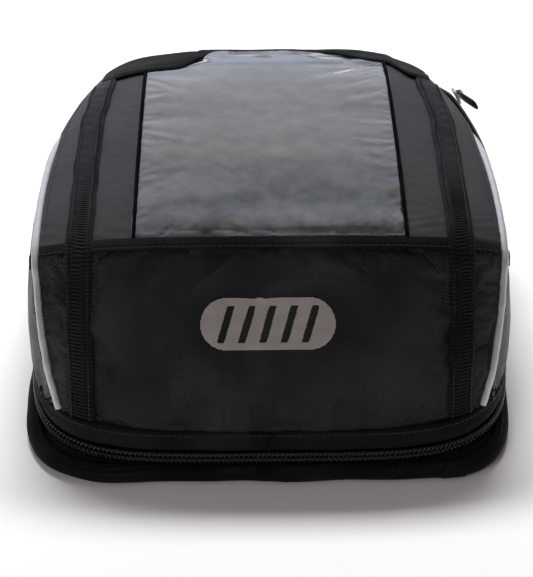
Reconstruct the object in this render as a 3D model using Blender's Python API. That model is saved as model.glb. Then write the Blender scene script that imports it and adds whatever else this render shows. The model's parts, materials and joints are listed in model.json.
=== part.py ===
"""Motorcycle tank bag: a stiff magnetic base, a bag zipped onto it, and a zipped lid with a map window.

Metres, +Z up, +Y to the rear. The origin is at the middle of the base, on its underside.
Every piece of skin is a thin closed shell that follows one of three surfaces:
the shroud (front panel and lid), the wall (sides and rear), and the rounded outline of the base.
"""

import math

import bmesh
import bpy
from mathutils import Matrix, Vector

# ---- driving dimensions -------------------------------------------------------------------------
BASE_HALF_WIDTH = 0.129
BASE_HALF_LENGTH = 0.150
RIM_ROUNDNESS = 7.5          # exponents of the superellipse outlines: the rim, and in front the zip
FRONT_ROUNDNESS = 4.6        # and the hem, whose front corners are rounder than the rim's
REAR_ROUNDNESS = 7.0
PAD_HEIGHT = 0.009
CHAIN_INSET = 0.0020         # base zip's coils, inboard of the rim
HEM_INSET = 0.0035           # bag's skin where it meets the hem, inboard of the rim
HEM_BOTTOM = 0.0170
HEM_TOP = 0.0280
SKIN = 0.0016                # fabric with its lining
FOAM = 0.0040
GAP = 0.0004                 # clearance kept between neighbouring pieces
FOAM_GAP = 0.0018            # between the foam and the skin it backs, which bends more finely
STRAP_CENTRE = 0.0955
STRAP_WIDTH = 0.0135
STRAP_DRIFT = 0.0040         # how far the straps close in at the rear
WINDOW_HALF_WIDTH = 0.0680
PIPING_RADIUS = 0.0022
CHAIN_DROP = 0.0078          # main zip's centreline, below the piping
COIL_WIDTH = 0.0028
TAPE = 0.0008
MARK_SIZE = (0.067, 0.026)
MARK_CENTRE = (-0.0015, 0.56)

# Centre line of front panel and lid as (y, z), and piping line as (x, y, z), from the front hem (s = 0)
# over the shoulder (s = 1) to the rear edge of the lid (s = 2). The points are evenly spaced in s.
CENTRE_LINE = [
    (-0.1450, 0.0280), (-0.1375, 0.0510), (-0.1265, 0.0730), (-0.1140, 0.0955),
    (-0.0990, 0.1125),
    (-0.0500, 0.1198), (0.0030, 0.1225), (0.0580, 0.1215), (0.1120, 0.1115),
]
PIPING_LINE = [
    (0.1080, -0.1255, 0.0280), (0.1130, -0.1180, 0.0470), (0.1160, -0.1090, 0.0660), (0.1177, -0.0995, 0.0840),
    (0.1187, -0.0880, 0.1005),
    (0.1182, -0.0400, 0.1075), (0.1145, 0.0080, 0.1085), (0.1057, 0.0550, 0.1070), (0.0955, 0.0990, 0.1010),
]
SHOULDER = 1.0
LID_REAR = 2.0
WINDOW_REAR = 1.953          # rear edge of the film, in s
LEFT_FLARE, RIGHT_FLARE = 0.140, 0.050   # how far the film is cut back at its rear corners, in s
STRAP_REAR = 1.795           # where the straps go under the rear band, in s
SEAM = 0.008                 # half the gap between bag and lid at the shoulder, in s
REAR_CORNER = 0.40           # where the wall turns from side to rear, in q
SIDE_BULGE = 0.0030
ZIP_BULGE = 0.0045           # how far the main zip stands out round its slider
CROWN = 3.6                  # exponent of the rounding from the centre line out to the piping
CROWN_GROWTH = 0.8           # and its growth per unit of s, as the lid gets flatter to the rear

OUTLINE_STEPS = 56
ZIP_STEPS = 42
LID_AXIS_HEIGHT = 0.0046     # lid hinge, above the shoulder seam
TILT_AXIS = Vector((0.0, 0.1485, 0.0166))


# ---- scene, materials and mesh helpers ------------------------------------------------------------
def clear_scene():
    for obj in list(bpy.data.objects):
        bpy.data.objects.remove(obj, do_unlink=True)


def material(name, colour, roughness, metallic=0.0, alpha=1.0):
    mat = bpy.data.materials.new(name)
    mat.use_nodes = True
    mat.diffuse_color = (*colour, alpha)
    shader = mat.node_tree.nodes["Principled BSDF"]
    shader.inputs["Base Color"].default_value = (*colour, 1.0)
    shader.inputs["Roughness"].default_value = roughness
    shader.inputs["Metallic"].default_value = metallic
    shader.inputs["Alpha"].default_value = alpha
    return mat


def add_object(name, data, mat, parent):
    """Links one piece and parents it, keeping its mesh where it is in world space."""
    obj = bpy.data.objects.new(name, data)
    bpy.context.scene.collection.objects.link(obj)
    data.materials.append(mat)
    if parent is not None:
        obj.parent = parent
        obj.matrix_parent_inverse = parent.matrix_world.inverted()
    return obj


def joint_empty(name, location, parent=None):
    empty = bpy.data.objects.new(name, None)
    bpy.context.scene.collection.objects.link(empty)
    empty.location = location
    if parent is not None:
        empty.parent = parent
        empty.matrix_parent_inverse = parent.matrix_world.inverted()
    bpy.context.view_layer.update()
    return empty


def mesh_from_bmesh(name, bm, smooth_angle=math.radians(35)):
    bmesh.ops.recalc_face_normals(bm, faces=bm.faces)
    mesh = bpy.data.meshes.new(name)
    bm.to_mesh(mesh)
    bm.free()
    mesh.shade_smooth()
    mesh.set_sharp_from_angle(angle=smooth_angle)
    return mesh


def spread(start, end, count):
    """Evenly spaced values from start to end, both included."""
    return [start + (end - start) * i / (count - 1) for i in range(count)]


def smoothstep(value, start, end):
    t = min(max((value - start) / (end - start), 0.0), 1.0)
    return t * t * (3.0 - 2.0 * t)


def catmull_rom(points, t):
    """Point at t in 0..1 on a smooth curve through evenly spaced points."""
    last = len(points) - 1
    place = min(max(t, 0.0), 1.0) * last
    i = min(int(place), last - 1)
    f = place - i
    p1, p2 = Vector(points[i]), Vector(points[i + 1])
    p0 = Vector(points[i - 1]) if i > 0 else 2.0 * p1 - p2
    p3 = Vector(points[i + 2]) if i + 2 <= last else 2.0 * p2 - p1
    return 0.5 * (2.0 * p1 + (p2 - p0) * f + (2.0 * p0 - 5.0 * p1 + 4.0 * p2 - p3) * f * f
                  + (3.0 * p1 - p0 - 3.0 * p2 + p3) * f * f * f)


# ---- the three surfaces ---------------------------------------------------------------------------
def shroud(u, s):
    """Front panel and lid: u is -1..1 from piping to piping, s as for CENTRE_LINE."""
    y, z = catmull_rom(CENTRE_LINE, s / LID_REAR)
    edge = catmull_rom(PIPING_LINE, s / LID_REAR)
    fall = abs(u) ** (CROWN + CROWN_GROWTH * s)
    return Vector((u * edge.x, y + (edge.y - y) * fall, z + (edge.z - z) * fall))


def shroud_at(x, s):
    """The shroud at a distance x from the centre line."""
    return shroud(x / catmull_rom(PIPING_LINE, s / LID_REAR).x, s)


def superellipse(value, along, across, power):
    """The other half-width of a superellipse, at this distance from its middle."""
    return across * (1.0 - min(abs(value / along), 1.0) ** power) ** (1.0 / power)


def outline(angle, inset, z=0.0, front_power=FRONT_ROUNDNESS):
    """Rounded outline of the base: angle 0 is the middle of the right side, 90 degrees the rear."""
    c, s = math.cos(angle), math.sin(angle)
    power = REAR_ROUNDNESS if s > 0.0 else front_power
    x = (BASE_HALF_WIDTH - inset) * math.copysign(abs(c) ** (2.0 / power), c)
    y = (BASE_HALF_LENGTH - inset) * math.copysign(abs(s) ** (2.0 / power), s)
    return Vector((x, y, z))


def wall_top(q):
    """Upper edge of the wall: q is -1 at the left front hem, 0 at the rear centre, 1 at the right front hem."""
    side = math.copysign(1.0, q)
    if abs(q) >= REAR_CORNER:
        return shroud(side, LID_REAR * (1.0 - abs(q)) / (1.0 - REAR_CORNER))
    return shroud(q / REAR_CORNER, LID_REAR)


def wall_foot(q):
    """Lower edge of the wall, on the hem."""
    half_width, half_length = BASE_HALF_WIDTH - HEM_INSET, BASE_HALF_LENGTH - HEM_INSET
    front_y, corner_y = PIPING_LINE[0][1], 0.78 * half_length
    if abs(q) >= REAR_CORNER:
        y = corner_y + (front_y - corner_y) * (abs(q) - REAR_CORNER) / (1.0 - REAR_CORNER)
        power = REAR_ROUNDNESS if y > 0.0 else FRONT_ROUNDNESS
        return Vector((math.copysign(superellipse(y, half_length, half_width, power), q), y, HEM_TOP))
    corner_x = superellipse(corner_y, half_length, half_width, REAR_ROUNDNESS)
    x = corner_x * q / REAR_CORNER
    return Vector((x, superellipse(x, half_width, half_length, REAR_ROUNDNESS), HEM_TOP))


def wall_height(q):
    return (wall_foot(q) - wall_top(q)).length


def wall(q, drop):
    """Side and rear wall at a distance drop below its upper edge, bulging a little outwards."""
    top, foot = wall_top(q), wall_foot(q)
    down = foot - top
    share = drop / down.length
    outward = Vector((foot.x / BASE_HALF_WIDTH ** 2, foot.y / BASE_HALF_LENGTH ** 2, 0.0)).normalized()
    bulge = SIDE_BULGE * min(down.length / 0.07, 1.0) * math.sin(math.pi * min(max(share, 0.0), 1.0))
    near_slider = smoothstep(q, 0.385, 0.440) * min(max((0.64 - q) / 0.20, 0.0), 1.0)
    zip_rise = smoothstep(drop, 0.0, 0.0065) * smoothstep(-drop, -0.045, -0.014) * near_slider
    return top + down * share + outward * (bulge + ZIP_BULGE * zip_rise)


def surface_normal(surface, a, b, inside=Vector((0.0, 0.0, 0.04))):
    """Unit normal of a surface at (a, b), pointing away from the inside of the bag."""
    step_a, step_b = 1e-3, 1e-3
    along_a = surface(a + step_a, b) - surface(a - step_a, b)
    along_b = surface(a, b + step_b) - surface(a, b - step_b)
    normal = along_a.cross(along_b).normalized()
    point = surface(a, b)
    return normal if normal.dot(point - inside) > 0.0 else -normal


# ---- solids built on the surfaces ------------------------------------------------------------------
def shell(name, grid, inner_grid, mat, parent, closed=False):
    """Closed solid between two grids of points, outer and inner. A closed grid joins its ends into a ring."""
    bm = bmesh.new()
    outer = [[bm.verts.new(p) for p in row] for row in grid]
    inner = [[bm.verts.new(p) for p in row] for row in inner_grid]
    rows, columns = len(outer), len(outer[0])
    for i in range(rows if closed else rows - 1):
        k = (i + 1) % rows
        for j in range(columns - 1):
            bm.faces.new((outer[i][j], outer[k][j], outer[k][j + 1], outer[i][j + 1]))
            bm.faces.new((inner[i][j], inner[i][j + 1], inner[k][j + 1], inner[k][j]))
        for j in (0, columns - 1):
            bm.faces.new((outer[i][j], outer[k][j], inner[k][j], inner[i][j]))
    if not closed:
        for i in (0, rows - 1):
            for j in range(columns - 1):
                bm.faces.new((outer[i][j], outer[i][j + 1], inner[i][j + 1], inner[i][j]))
    return add_object(name, mesh_from_bmesh(name, bm), mat, parent)


def skin(name, surface, a_values, b_values, inner, outer, mat, parent):
    """Shell from inner to outer above a surface. b_values may be a function of a."""
    grid, inner_grid = [], []
    for a in a_values:
        column = b_values(a) if callable(b_values) else b_values
        normals = [surface_normal(surface, a, b) for b in column]
        points = [surface(a, b) for b in column]
        grid.append([p + n * outer for p, n in zip(points, normals)])
        inner_grid.append([p + n * inner for p, n in zip(points, normals)])
    return shell(name, grid, inner_grid, mat, parent)


def ring(name, z_low, z_high, inset_outer, inset_inner, mat, parent, angles=None, power=FRONT_ROUNDNESS):
    """Upright band that follows the base's outline, all the way round or over a list of angles."""
    closed = angles is None
    if closed:
        angles = [math.tau * i / OUTLINE_STEPS for i in range(OUTLINE_STEPS)]

    def band(inset):
        return [[outline(a, inset, z, power) for z in (z_low, z_high)] for a in angles]

    grid, inner_grid = band(inset_outer), band(inset_inner)
    return shell(name, grid, inner_grid, mat, parent, closed=closed)


def slab(name, z_low, z_high, inset, mat, parent, power=RIM_ROUNDNESS, steps=40):
    """Flat sheet with the base's outline."""
    bm = bmesh.new()
    loop = [bm.verts.new(outline(math.tau * i / steps, inset, z_low, power)) for i in range(steps)]
    bottom = bm.faces.new(loop)
    raised = bmesh.ops.extrude_face_region(bm, geom=[bottom])
    top = [v for v in raised["geom"] if isinstance(v, bmesh.types.BMVert)]
    bmesh.ops.translate(bm, verts=top, vec=(0.0, 0.0, z_high - z_low))
    return add_object(name, mesh_from_bmesh(name, bm), mat, parent)


def cord(name, points, radius, mat, parent):
    """Round cord with closed ends along a line of points."""
    curve = bpy.data.curves.new(name, "CURVE")
    curve.dimensions = "3D"
    curve.bevel_depth = radius
    curve.bevel_resolution = 1
    curve.use_fill_caps = True
    spline = curve.splines.new("POLY")
    spline.points.add(len(points) - 1)
    for target, point in zip(spline.points, points):
        target.co = (*point, 1.0)
    return add_object(name, curve, mat, parent)


def block(size, centre=(0.0, 0.0, 0.0), bevel=0.0):
    """Mesh of a box with rounded edges, in its own frame."""
    bm = bmesh.new()
    place = Matrix.Translation(centre) @ Matrix.Diagonal((*size, 1.0))
    bmesh.ops.create_cube(bm, size=1.0, matrix=place)
    if bevel > 0.0:
        bmesh.ops.bevel(bm, geom=list(bm.edges), offset=bevel, segments=1, affect="EDGES", profile=0.5)
    return mesh_from_bmesh("block", bm)


def cut_or_join(obj, tool_mesh, operation):
    """Boolean modifier whose operand is a hidden helper object with the same place as obj."""
    tool = bpy.data.objects.new(obj.name + "_" + operation.lower(), tool_mesh)
    bpy.context.scene.collection.objects.link(tool)
    tool.parent = obj.parent
    tool.matrix_parent_inverse = obj.matrix_parent_inverse
    tool.matrix_basis = obj.matrix_basis
    tool.hide_render = True
    tool.display_type = "WIRE"
    modifier = obj.modifiers.new(operation.title(), "BOOLEAN")
    modifier.operation = operation
    modifier.object = tool
    modifier.solver = "EXACT"


# ---- base -------------------------------------------------------------------------------------------
def zip_angles(steps):
    """From the right rear, round the front, to the left rear: where the base zip runs."""
    return [math.radians(a) for a in spread(14.0, -194.0, steps)]


def web_angles(steps):
    """Round the rear, between the two ends of the base zip."""
    return [math.radians(a) for a in spread(16.0, 164.0, steps)]


def build_base(mats):
    fabric, tape, coil = mats["fabric"], mats["tape"], mats["coil"]
    slab("base_underside", 0.0, 0.0012, 0.0034, mats["rubber"], None, steps=OUTLINE_STEPS)
    board = slab("base_board", 0.0016, 0.0062, 0.0060, mats["board"], None)
    slab("base_floor", 0.0066, 0.0078, 0.0060, fabric, None)
    ring("base_binding", 0.0, PAD_HEIGHT, 0.0, 0.0030, mats["webbing"], None, power=RIM_ROUNDNESS)
    magnet_radius, pocket_clearance, magnet_height = 0.0150, 0.0006, 0.0030
    for end, y in (("front", -0.085), ("rear", 0.085)):
        for side, x in (("left", -0.075), ("right", 0.075)):
            place = Matrix.Translation((x, y, 0.0056))
            pocket = bmesh.new()
            bmesh.ops.create_cone(pocket, cap_ends=True, segments=24, radius1=magnet_radius + pocket_clearance,
                                  radius2=magnet_radius + pocket_clearance, depth=2 * magnet_height, matrix=place)
            cut_or_join(board, mesh_from_bmesh("pocket", pocket), "DIFFERENCE")
            magnet = bmesh.new()
            bmesh.ops.create_cone(magnet, cap_ends=True, segments=24, radius1=magnet_radius,
                                  radius2=magnet_radius, depth=magnet_height,
                                  matrix=Matrix.Translation((x, y, 0.0046)))
            name = f"magnet_{end}_{side}"
            add_object(name, mesh_from_bmesh(name, magnet), mats["magnet"], None)
    tape_inset = CHAIN_INSET + 0.0014
    ring("base_zip_lower_tape", 0.0082, 0.0126, tape_inset, tape_inset + TAPE, tape, None, zip_angles(ZIP_STEPS))
    ring("base_zip_lower_coil", 0.0100, 0.0100 + COIL_WIDTH, CHAIN_INSET - 0.0011, CHAIN_INSET + 0.0011, coil,
         None, zip_angles(ZIP_STEPS))
    ring("rear_hinge_web", 0.0082, HEM_BOTTOM - GAP, tape_inset, tape_inset + TAPE, fabric, None, web_angles(22))


# ---- bag --------------------------------------------------------------------------------------------
def wall_span(top, bottom_margin, rows):
    """Function giving the drops of a panel from its upper edge to just above the hem."""
    return lambda q: spread(top(q) if callable(top) else top, wall_height(q) - bottom_margin, rows)


def panel_top(q):
    """Side panel's upper edge: at the piping in front of the shoulder, below the main zip behind it."""
    below_zip = CHAIN_DROP + 0.0042
    return 0.0026 + (below_zip - 0.0026) * smoothstep(-abs(q), -0.745, -0.705)


def strap(name, side, s_start, s_end, steps, mat, parent):
    half = 0.5 * STRAP_WIDTH

    def across(s):
        centre = STRAP_CENTRE - STRAP_DRIFT * smoothstep(s, 1.5, 1.87)
        return [side * (centre + offset) for offset in spread(-half, half, 3)]

    return skin(name, lambda s, x: shroud_at(x, s), spread(s_start, s_end, steps), across,
                SKIN + GAP, SKIN + GAP + 0.0013, mat, parent)


def piping_points(side, s_start, s_end, steps):
    points = []
    for s in spread(s_start, s_end, steps):
        points.append(shroud(side, s) + surface_normal(shroud, side * 0.995, s) * 0.0006)
    return points


def build_front(mats, bag):
    skin("front_panel", shroud, spread(-0.978, 0.978, 21), spread(0.006, SHOULDER - SEAM, 9), 0.0, SKIN,
         mats["fabric"], bag)
    skin("front_foam", shroud, spread(-0.93, 0.93, 11), spread(0.03, 0.93, 6), -FOAM - FOAM_GAP, -FOAM_GAP,
         mats["foam"], bag)
    strap_edge = STRAP_CENTRE - 0.5 * STRAP_WIDTH - GAP
    skin("front_hem_strip", lambda x, s: shroud_at(x, s), spread(-strap_edge, strap_edge, 13),
         spread(0.925, SHOULDER - SEAM, 3), SKIN + GAP, SKIN + GAP + 0.0009, mats["webbing"], bag)
    reflective_mark(mats["reflective"], bag)
    for side, label in ((-1, "left"), (1, "right")):
        strap(f"front_strap_{label}", side, 0.012, SHOULDER - SEAM, 10, mats["webbing"], bag)
        cord(f"front_piping_{label}", piping_points(side, 0.03, SHOULDER - 2 * SEAM, 10), PIPING_RADIUS,
             mats["reflective"], bag)


def reflective_mark(mat, bag):
    """Plain rounded patch of reflective film on the front panel."""
    width, height = MARK_SIZE
    centre_x, centre_s = MARK_CENTRE
    metres_per_s = (shroud(0.0, 0.6) - shroud(0.0, 0.5)).length / 0.1
    radius = 0.5 * height

    def point(a, b):
        limit = width / 2 - radius + math.sqrt(max(radius ** 2 - (b * radius) ** 2, 1e-8))
        return shroud_at(centre_x + a * limit, centre_s + b * radius / metres_per_s)

    skin("reflective_mark", point, spread(-1.0, 1.0, 9), spread(-0.98, 0.98, 9),
         SKIN + GAP, SKIN + 2 * GAP, mat, bag)


def build_walls(mats, bag):
    fabric, foam = mats["fabric"], mats["foam"]
    for side, label in ((-1, "left"), (1, "right")):
        qs = [side * q for q in spread(REAR_CORNER + 0.0015, 0.965, 20)]
        skin(f"side_panel_{label}", wall, qs, wall_span(panel_top, 0.0004, 6), 0.0, SKIN, fabric, bag)
        qs = [side * q for q in spread(REAR_CORNER + 0.03, 0.80, 10)]
        skin(f"side_foam_{label}", wall, qs, wall_span(CHAIN_DROP + 0.0085, 0.002, 4),
             -FOAM - FOAM_GAP, -FOAM_GAP, foam, bag)
        qs = [side * q for q in spread(0.706, 0.722, 3)]
        skin(f"zip_end_tab_{label}", wall, qs, spread(0.0048, 0.0185, 4), SKIN + GAP, SKIN + GAP + 0.0012,
             mats["tape"], bag)
    qs = spread(-REAR_CORNER + 0.001, REAR_CORNER - 0.001, 19)
    skin("rear_panel", wall, qs, wall_span(CHAIN_DROP + 0.0042, 0.0004, 5), 0.0, SKIN, fabric, bag)
    qs = spread(-REAR_CORNER + 0.03, REAR_CORNER - 0.03, 13)
    skin("rear_foam", wall, qs, wall_span(CHAIN_DROP + 0.0085, 0.002, 4), -FOAM - FOAM_GAP, -FOAM_GAP, foam, bag)
    half_coil = 0.5 * GAP + COIL_WIDTH
    qs = main_zip_places()
    skin("main_zip_lower_tape", wall, qs, [CHAIN_DROP + GAP, CHAIN_DROP + 0.0075], -0.0022, -0.0022 + TAPE,
         mats["tape"], bag)
    skin("main_zip_lower_coil", wall, qs, [CHAIN_DROP + 0.5 * GAP, CHAIN_DROP + half_coil], -0.0001, 0.0021,
         mats["coil"], bag)


def main_zip_places():
    """From the right shoulder, round the rear, to the left shoulder."""
    return spread(0.692, -0.692, 45)


def build_bag_bottom(mats, bag):
    tape_inset = CHAIN_INSET + 0.0014
    upper_coil = 0.0100 + COIL_WIDTH + GAP
    ring("base_zip_upper_coil", upper_coil, upper_coil + COIL_WIDTH, CHAIN_INSET - 0.0011, CHAIN_INSET + 0.0011,
         mats["coil"], bag, zip_angles(ZIP_STEPS))
    ring("base_zip_upper_tape", 0.0130, 0.0205, tape_inset, tape_inset + TAPE, mats["tape"], bag, zip_angles(ZIP_STEPS))
    ring("hem_band", HEM_BOTTOM, HEM_TOP - GAP, HEM_INSET - 0.0018, HEM_INSET - 0.0004, mats["hem"], bag)
    slab("bag_floor", 0.0212, 0.0224, HEM_INSET + 0.0016, mats["fabric"], bag, FRONT_ROUNDNESS)
    slab("floor_stiffener", 0.0228, 0.0240, HEM_INSET + 0.0160, mats["board"], bag, FRONT_ROUNDNESS)


# ---- lid --------------------------------------------------------------------------------------------
def build_lid(mats, lid):
    start = SHOULDER + SEAM
    skin("lid_foam", shroud, spread(-0.90, 0.90, 13), spread(start + 0.04, 1.93, 9), -FOAM - 2 * FOAM_GAP, -2 * FOAM_GAP,
         mats["foam"], lid)
    backing_edge = WINDOW_HALF_WIDTH + 0.008
    on_shroud = lambda s, x: shroud_at(x, s)
    skin("window_backing", on_shroud, spread(start, 1.985, 14), spread(-backing_edge, backing_edge, 9),
         -0.0008, 0.0, mats["backing"], lid)
    for side, label in ((-1, "left"), (1, "right")):
        inner_edge = WINDOW_HALF_WIDTH + 0.001

        def across(s, side=side, inner_edge=inner_edge):
            outer_edge = catmull_rom(PIPING_LINE, s / LID_REAR).x * 0.978
            return [side * x for x in spread(inner_edge, outer_edge, 7)]

        skin(f"lid_leather_{label}", on_shroud, spread(start, 1.975, 15), across, GAP, SKIN, mats["leather"], lid)
        edge = [side * (WINDOW_HALF_WIDTH + x) for x in (-0.0016, 0.0022)]
        skin(f"window_binding_{label}", on_shroud, spread(start, window_rear(edge[0]), 14), edge, 0.0028, 0.0036,
             mats["tape"], lid)
        strap(f"lid_strap_{label}", side, start, STRAP_REAR, 14, mats["webbing"], lid)
    skin("window_film", window_bulge, spread(0.0, 1.0, 14), spread(-1.0, 1.0, 17), 0.0019, 0.0024,
         mats["film"], lid)
    closure = spread(-0.045, 0.045, 9)
    closure_rows = spread(WINDOW_REAR - 0.055, WINDOW_REAR - 0.003, 3)
    for name, low in (("window_loop_strip", 0.0003), ("window_hook_strip", 0.0011)):
        skin(name, lambda x, s: shroud_at(x, s), closure, closure_rows, low, low + 0.0005, mats["hook"], lid)
    band = spread(-0.0895, 0.0895, 33)
    skin("rear_cross_band", lambda x, s: shroud_at(x, s), band, band_rows, SKIN + GAP, SKIN + GAP + 0.0013,
         mats["webbing"], lid)
    build_lid_edge(mats, lid)


def window_rear(x):
    """Rear edge of the film, which is cut back at its corners, more on the left."""
    left, right = smoothstep(-x, 0.030, 0.052), smoothstep(x, 0.038, 0.062)
    return WINDOW_REAR - LEFT_FLARE * left - RIGHT_FLARE * right


def window_bulge(t, u):
    """The film from the shoulder (t = 0) to its rear edge, standing up a little in the middle of the map pocket."""
    x = u * (WINDOW_HALF_WIDTH + 0.0015)
    start = SHOULDER + SEAM
    rise = 0.0022 * (1.0 - u * u) * math.sin(math.pi * min(max(t, 0.0), 1.0))
    return shroud_at(x, start + (window_rear(x) - start) * t) + Vector((0.0, 0.0, max(rise, 0.0)))


def band_rows(x):
    """Front and rear edge of the cross band, narrow in the middle and wide at its ends."""
    front = window_rear(x) + 0.008 - (LEFT_FLARE - RIGHT_FLARE) * smoothstep(x, 0.070, 0.084)
    return spread(front, 1.985 - 0.020 * (abs(x) / 0.10) ** 3, 4)


def build_lid_edge(mats, lid):
    steps = 16
    right = piping_points(1, SHOULDER + SEAM + 0.008, 1.985, steps)
    left = piping_points(-1, 1.985, SHOULDER + SEAM + 0.008, steps)
    rear = [shroud(u, LID_REAR) + surface_normal(shroud, u, 1.99) * 0.0006 for u in spread(0.985, -0.985, 17)]
    cord("lid_piping", right + rear + left, PIPING_RADIUS, mats["reflective"], lid)
    half_coil = 0.5 * GAP + COIL_WIDTH
    qs = main_zip_places()
    skin("main_zip_upper_tape", wall, qs, [0.0028, CHAIN_DROP - GAP], -0.0022, -0.0022 + TAPE, mats["tape"], lid)
    skin("main_zip_upper_coil", wall, qs, [CHAIN_DROP - half_coil, CHAIN_DROP - 0.5 * GAP], -0.0001, 0.0021,
         mats["coil"], lid)


# ---- zip sliders and pulls --------------------------------------------------------------------------
SLIDER_LENGTH, SLIDER_HEIGHT, SLIDER_PLATE = 0.0100, 0.0072, 0.0014
COIL_CLEARANCE = 0.0012      # from the coils to the slider's plate
ARCH_LENGTH, ARCH_WIDTH, ARCH_RISE, ARCH_WALL = 0.0052, 0.0022, 0.0026, 0.0008
PULL_LENGTH, PULL_WIDTH, PULL_THICKNESS = 0.0240, 0.0066, 0.0011


def frame_of(forward, outward):
    """Rotation whose x axis points along the zip, z axis away from the bag."""
    z = (outward - forward * outward.dot(forward)).normalized()
    y = z.cross(forward)
    return Matrix((forward, y, z)).transposed().to_4x4()


def zip_slider(name, place, mat, parent):
    """Slider plate over the coils, with an arch that holds the pull. It is open on the side that lifts away."""
    plate_middle = 0.5 * SLIDER_PLATE
    obj = add_object(name, block((SLIDER_LENGTH, SLIDER_HEIGHT, SLIDER_PLATE), (0, 0, plate_middle), 0.0004), mat, None)
    overlap = 0.0003
    arch = block((ARCH_LENGTH, ARCH_WIDTH, ARCH_RISE + overlap),
                 (0, 0, SLIDER_PLATE - overlap + 0.5 * (ARCH_RISE + overlap)), 0.0003)
    tunnel = block((ARCH_LENGTH - 2 * ARCH_WALL, 2 * ARCH_WIDTH, ARCH_RISE - ARCH_WALL),
                   (0, 0, SLIDER_PLATE + 0.5 * (ARCH_RISE - ARCH_WALL)))
    place_on(obj, place, parent)
    cut_or_join(obj, arch, "UNION")
    cut_or_join(obj, tunnel, "DIFFERENCE")
    return obj


def place_on(obj, place, parent):
    obj.parent = parent
    obj.matrix_parent_inverse = parent.matrix_world.inverted()
    obj.matrix_basis = place


def zip_pull(name, place, mat, parent):
    """Flat pull with an eye round the arch and a small hole near its end. Its crossbar is the swing axis."""
    bar, rail, eye_length = 0.0009, 0.0012, 0.0050
    obj = add_object(name, block((PULL_LENGTH, PULL_WIDTH, PULL_THICKNESS),
                                 (0.5 * PULL_LENGTH - 0.5 * bar, 0, 0), 0.0002), mat, None)
    place_on(obj, place, parent)
    eye = block((eye_length, PULL_WIDTH - 2 * rail, 4 * PULL_THICKNESS), (0.5 * bar + 0.5 * eye_length, 0, 0))
    cut_or_join(obj, eye, "DIFFERENCE")
    hole = bmesh.new()
    bmesh.ops.create_cone(hole, cap_ends=True, segments=16, radius1=0.0014, radius2=0.0014, depth=0.006,
                          matrix=Matrix.Translation((PULL_LENGTH - 0.0038, 0, 0)))
    cut_or_join(obj, mesh_from_bmesh("hole", hole), "DIFFERENCE")
    return obj


def slider_and_pull(prefix, surface_point, forward, outward, lift, mats, parent):
    """Slider on its travel empty and pull on its swing empty, at surface_point on the coils, the pull lifted a little."""
    rotation = frame_of(forward, outward)
    z = rotation.to_3x3().col[2]
    foot = surface_point + z * COIL_CLEARANCE
    travel = joint_empty(f"{prefix}_slider_travel", foot, parent)
    zip_slider(f"{prefix}_zip_slider", Matrix.Translation(foot) @ rotation, mats["slider"], travel)
    pin = foot + z * (SLIDER_PLATE + 0.5 * (ARCH_RISE - ARCH_WALL))
    swing = joint_empty(f"{prefix}_pull_swing", pin, travel)
    lifted = rotation @ Matrix.Rotation(-lift, 4, "Y")
    zip_pull(f"{prefix}_zip_pull", Matrix.Translation(pin) @ lifted, mats["pull"], swing)


def build_sliders(mats, bag):
    q_start, q_end = 0.440, 0.535
    start, end = wall(q_start, CHAIN_DROP), wall(q_end, CHAIN_DROP)
    coil_top = surface_normal(wall, q_start, CHAIN_DROP) * 0.0021
    slider_and_pull("main", start + coil_top, (end - start).normalized(), coil_top.normalized(), math.radians(12.0),
                    mats, bag)
    chain_height = 0.0100 + COIL_WIDTH + 0.5 * GAP
    parked = Vector((BASE_HALF_WIDTH - CHAIN_INSET + 0.0011, 0.088, chain_height))
    slider_and_pull("base", parked, Vector((0, -1, 0)), Vector((1, 0, 0)), 0.0, mats, None)


def make_materials():
    return {
        "fabric": material("woven_fabric", (0.020, 0.020, 0.024), 0.80),
        "hem": material("hem_fabric", (0.012, 0.012, 0.013), 0.55),
        "webbing": material("webbing", (0.015, 0.015, 0.016), 0.70),
        "tape": material("zip_tape", (0.010, 0.010, 0.011), 0.75),
        "coil": material("zip_coil", (0.020, 0.020, 0.021), 0.35),
        "leather": material("synthetic_leather", (0.070, 0.070, 0.074), 0.55),
        "backing": material("window_backing", (0.130, 0.115, 0.105), 0.75),
        "film": material("clear_film", (0.75, 0.78, 0.82), 0.10, alpha=0.35),
        "reflective": material("reflective", (0.45, 0.45, 0.46), 0.40),
        "hook": material("hook_and_loop", (0.012, 0.012, 0.012), 0.90),
        "foam": material("foam", (0.110, 0.110, 0.115), 0.95),
        "board": material("stiffener", (0.030, 0.030, 0.032), 0.70),
        "magnet": material("magnet", (0.55, 0.55, 0.57), 0.35, metallic=1.0),
        "rubber": material("anti_slip", (0.020, 0.020, 0.020), 0.90),
        "slider": material("slider_metal", (0.32, 0.31, 0.29), 0.32, metallic=1.0),
        "pull": material("pull_metal", (0.09, 0.09, 0.09), 0.38, metallic=1.0),
    }


def main():
    clear_scene()
    mats = make_materials()
    build_base(mats)
    bag = joint_empty("bag_tilt", TILT_AXIS)
    seam = shroud(0.0, SHOULDER)
    lid_axis = seam + surface_normal(shroud, 0.0, SHOULDER) * LID_AXIS_HEIGHT
    lid = joint_empty("lid_hinge", lid_axis, bag)
    build_bag_bottom(mats, bag)
    build_front(mats, bag)
    build_walls(mats, bag)
    build_lid(mats, lid)
    build_sliders(mats, bag)


main()
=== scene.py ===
"""Looks of the tank bag: cloth, webbing, film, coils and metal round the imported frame.

Lengths are metres. The sheets of cloth follow the same three surfaces as the frame's solids: the shroud
(front panel and lid), the wall (sides and rear) and the rounded outline of the base.
"""

import json
import math

import bmesh
import bpy
import numpy as np
from mathutils import Matrix, Vector


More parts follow.
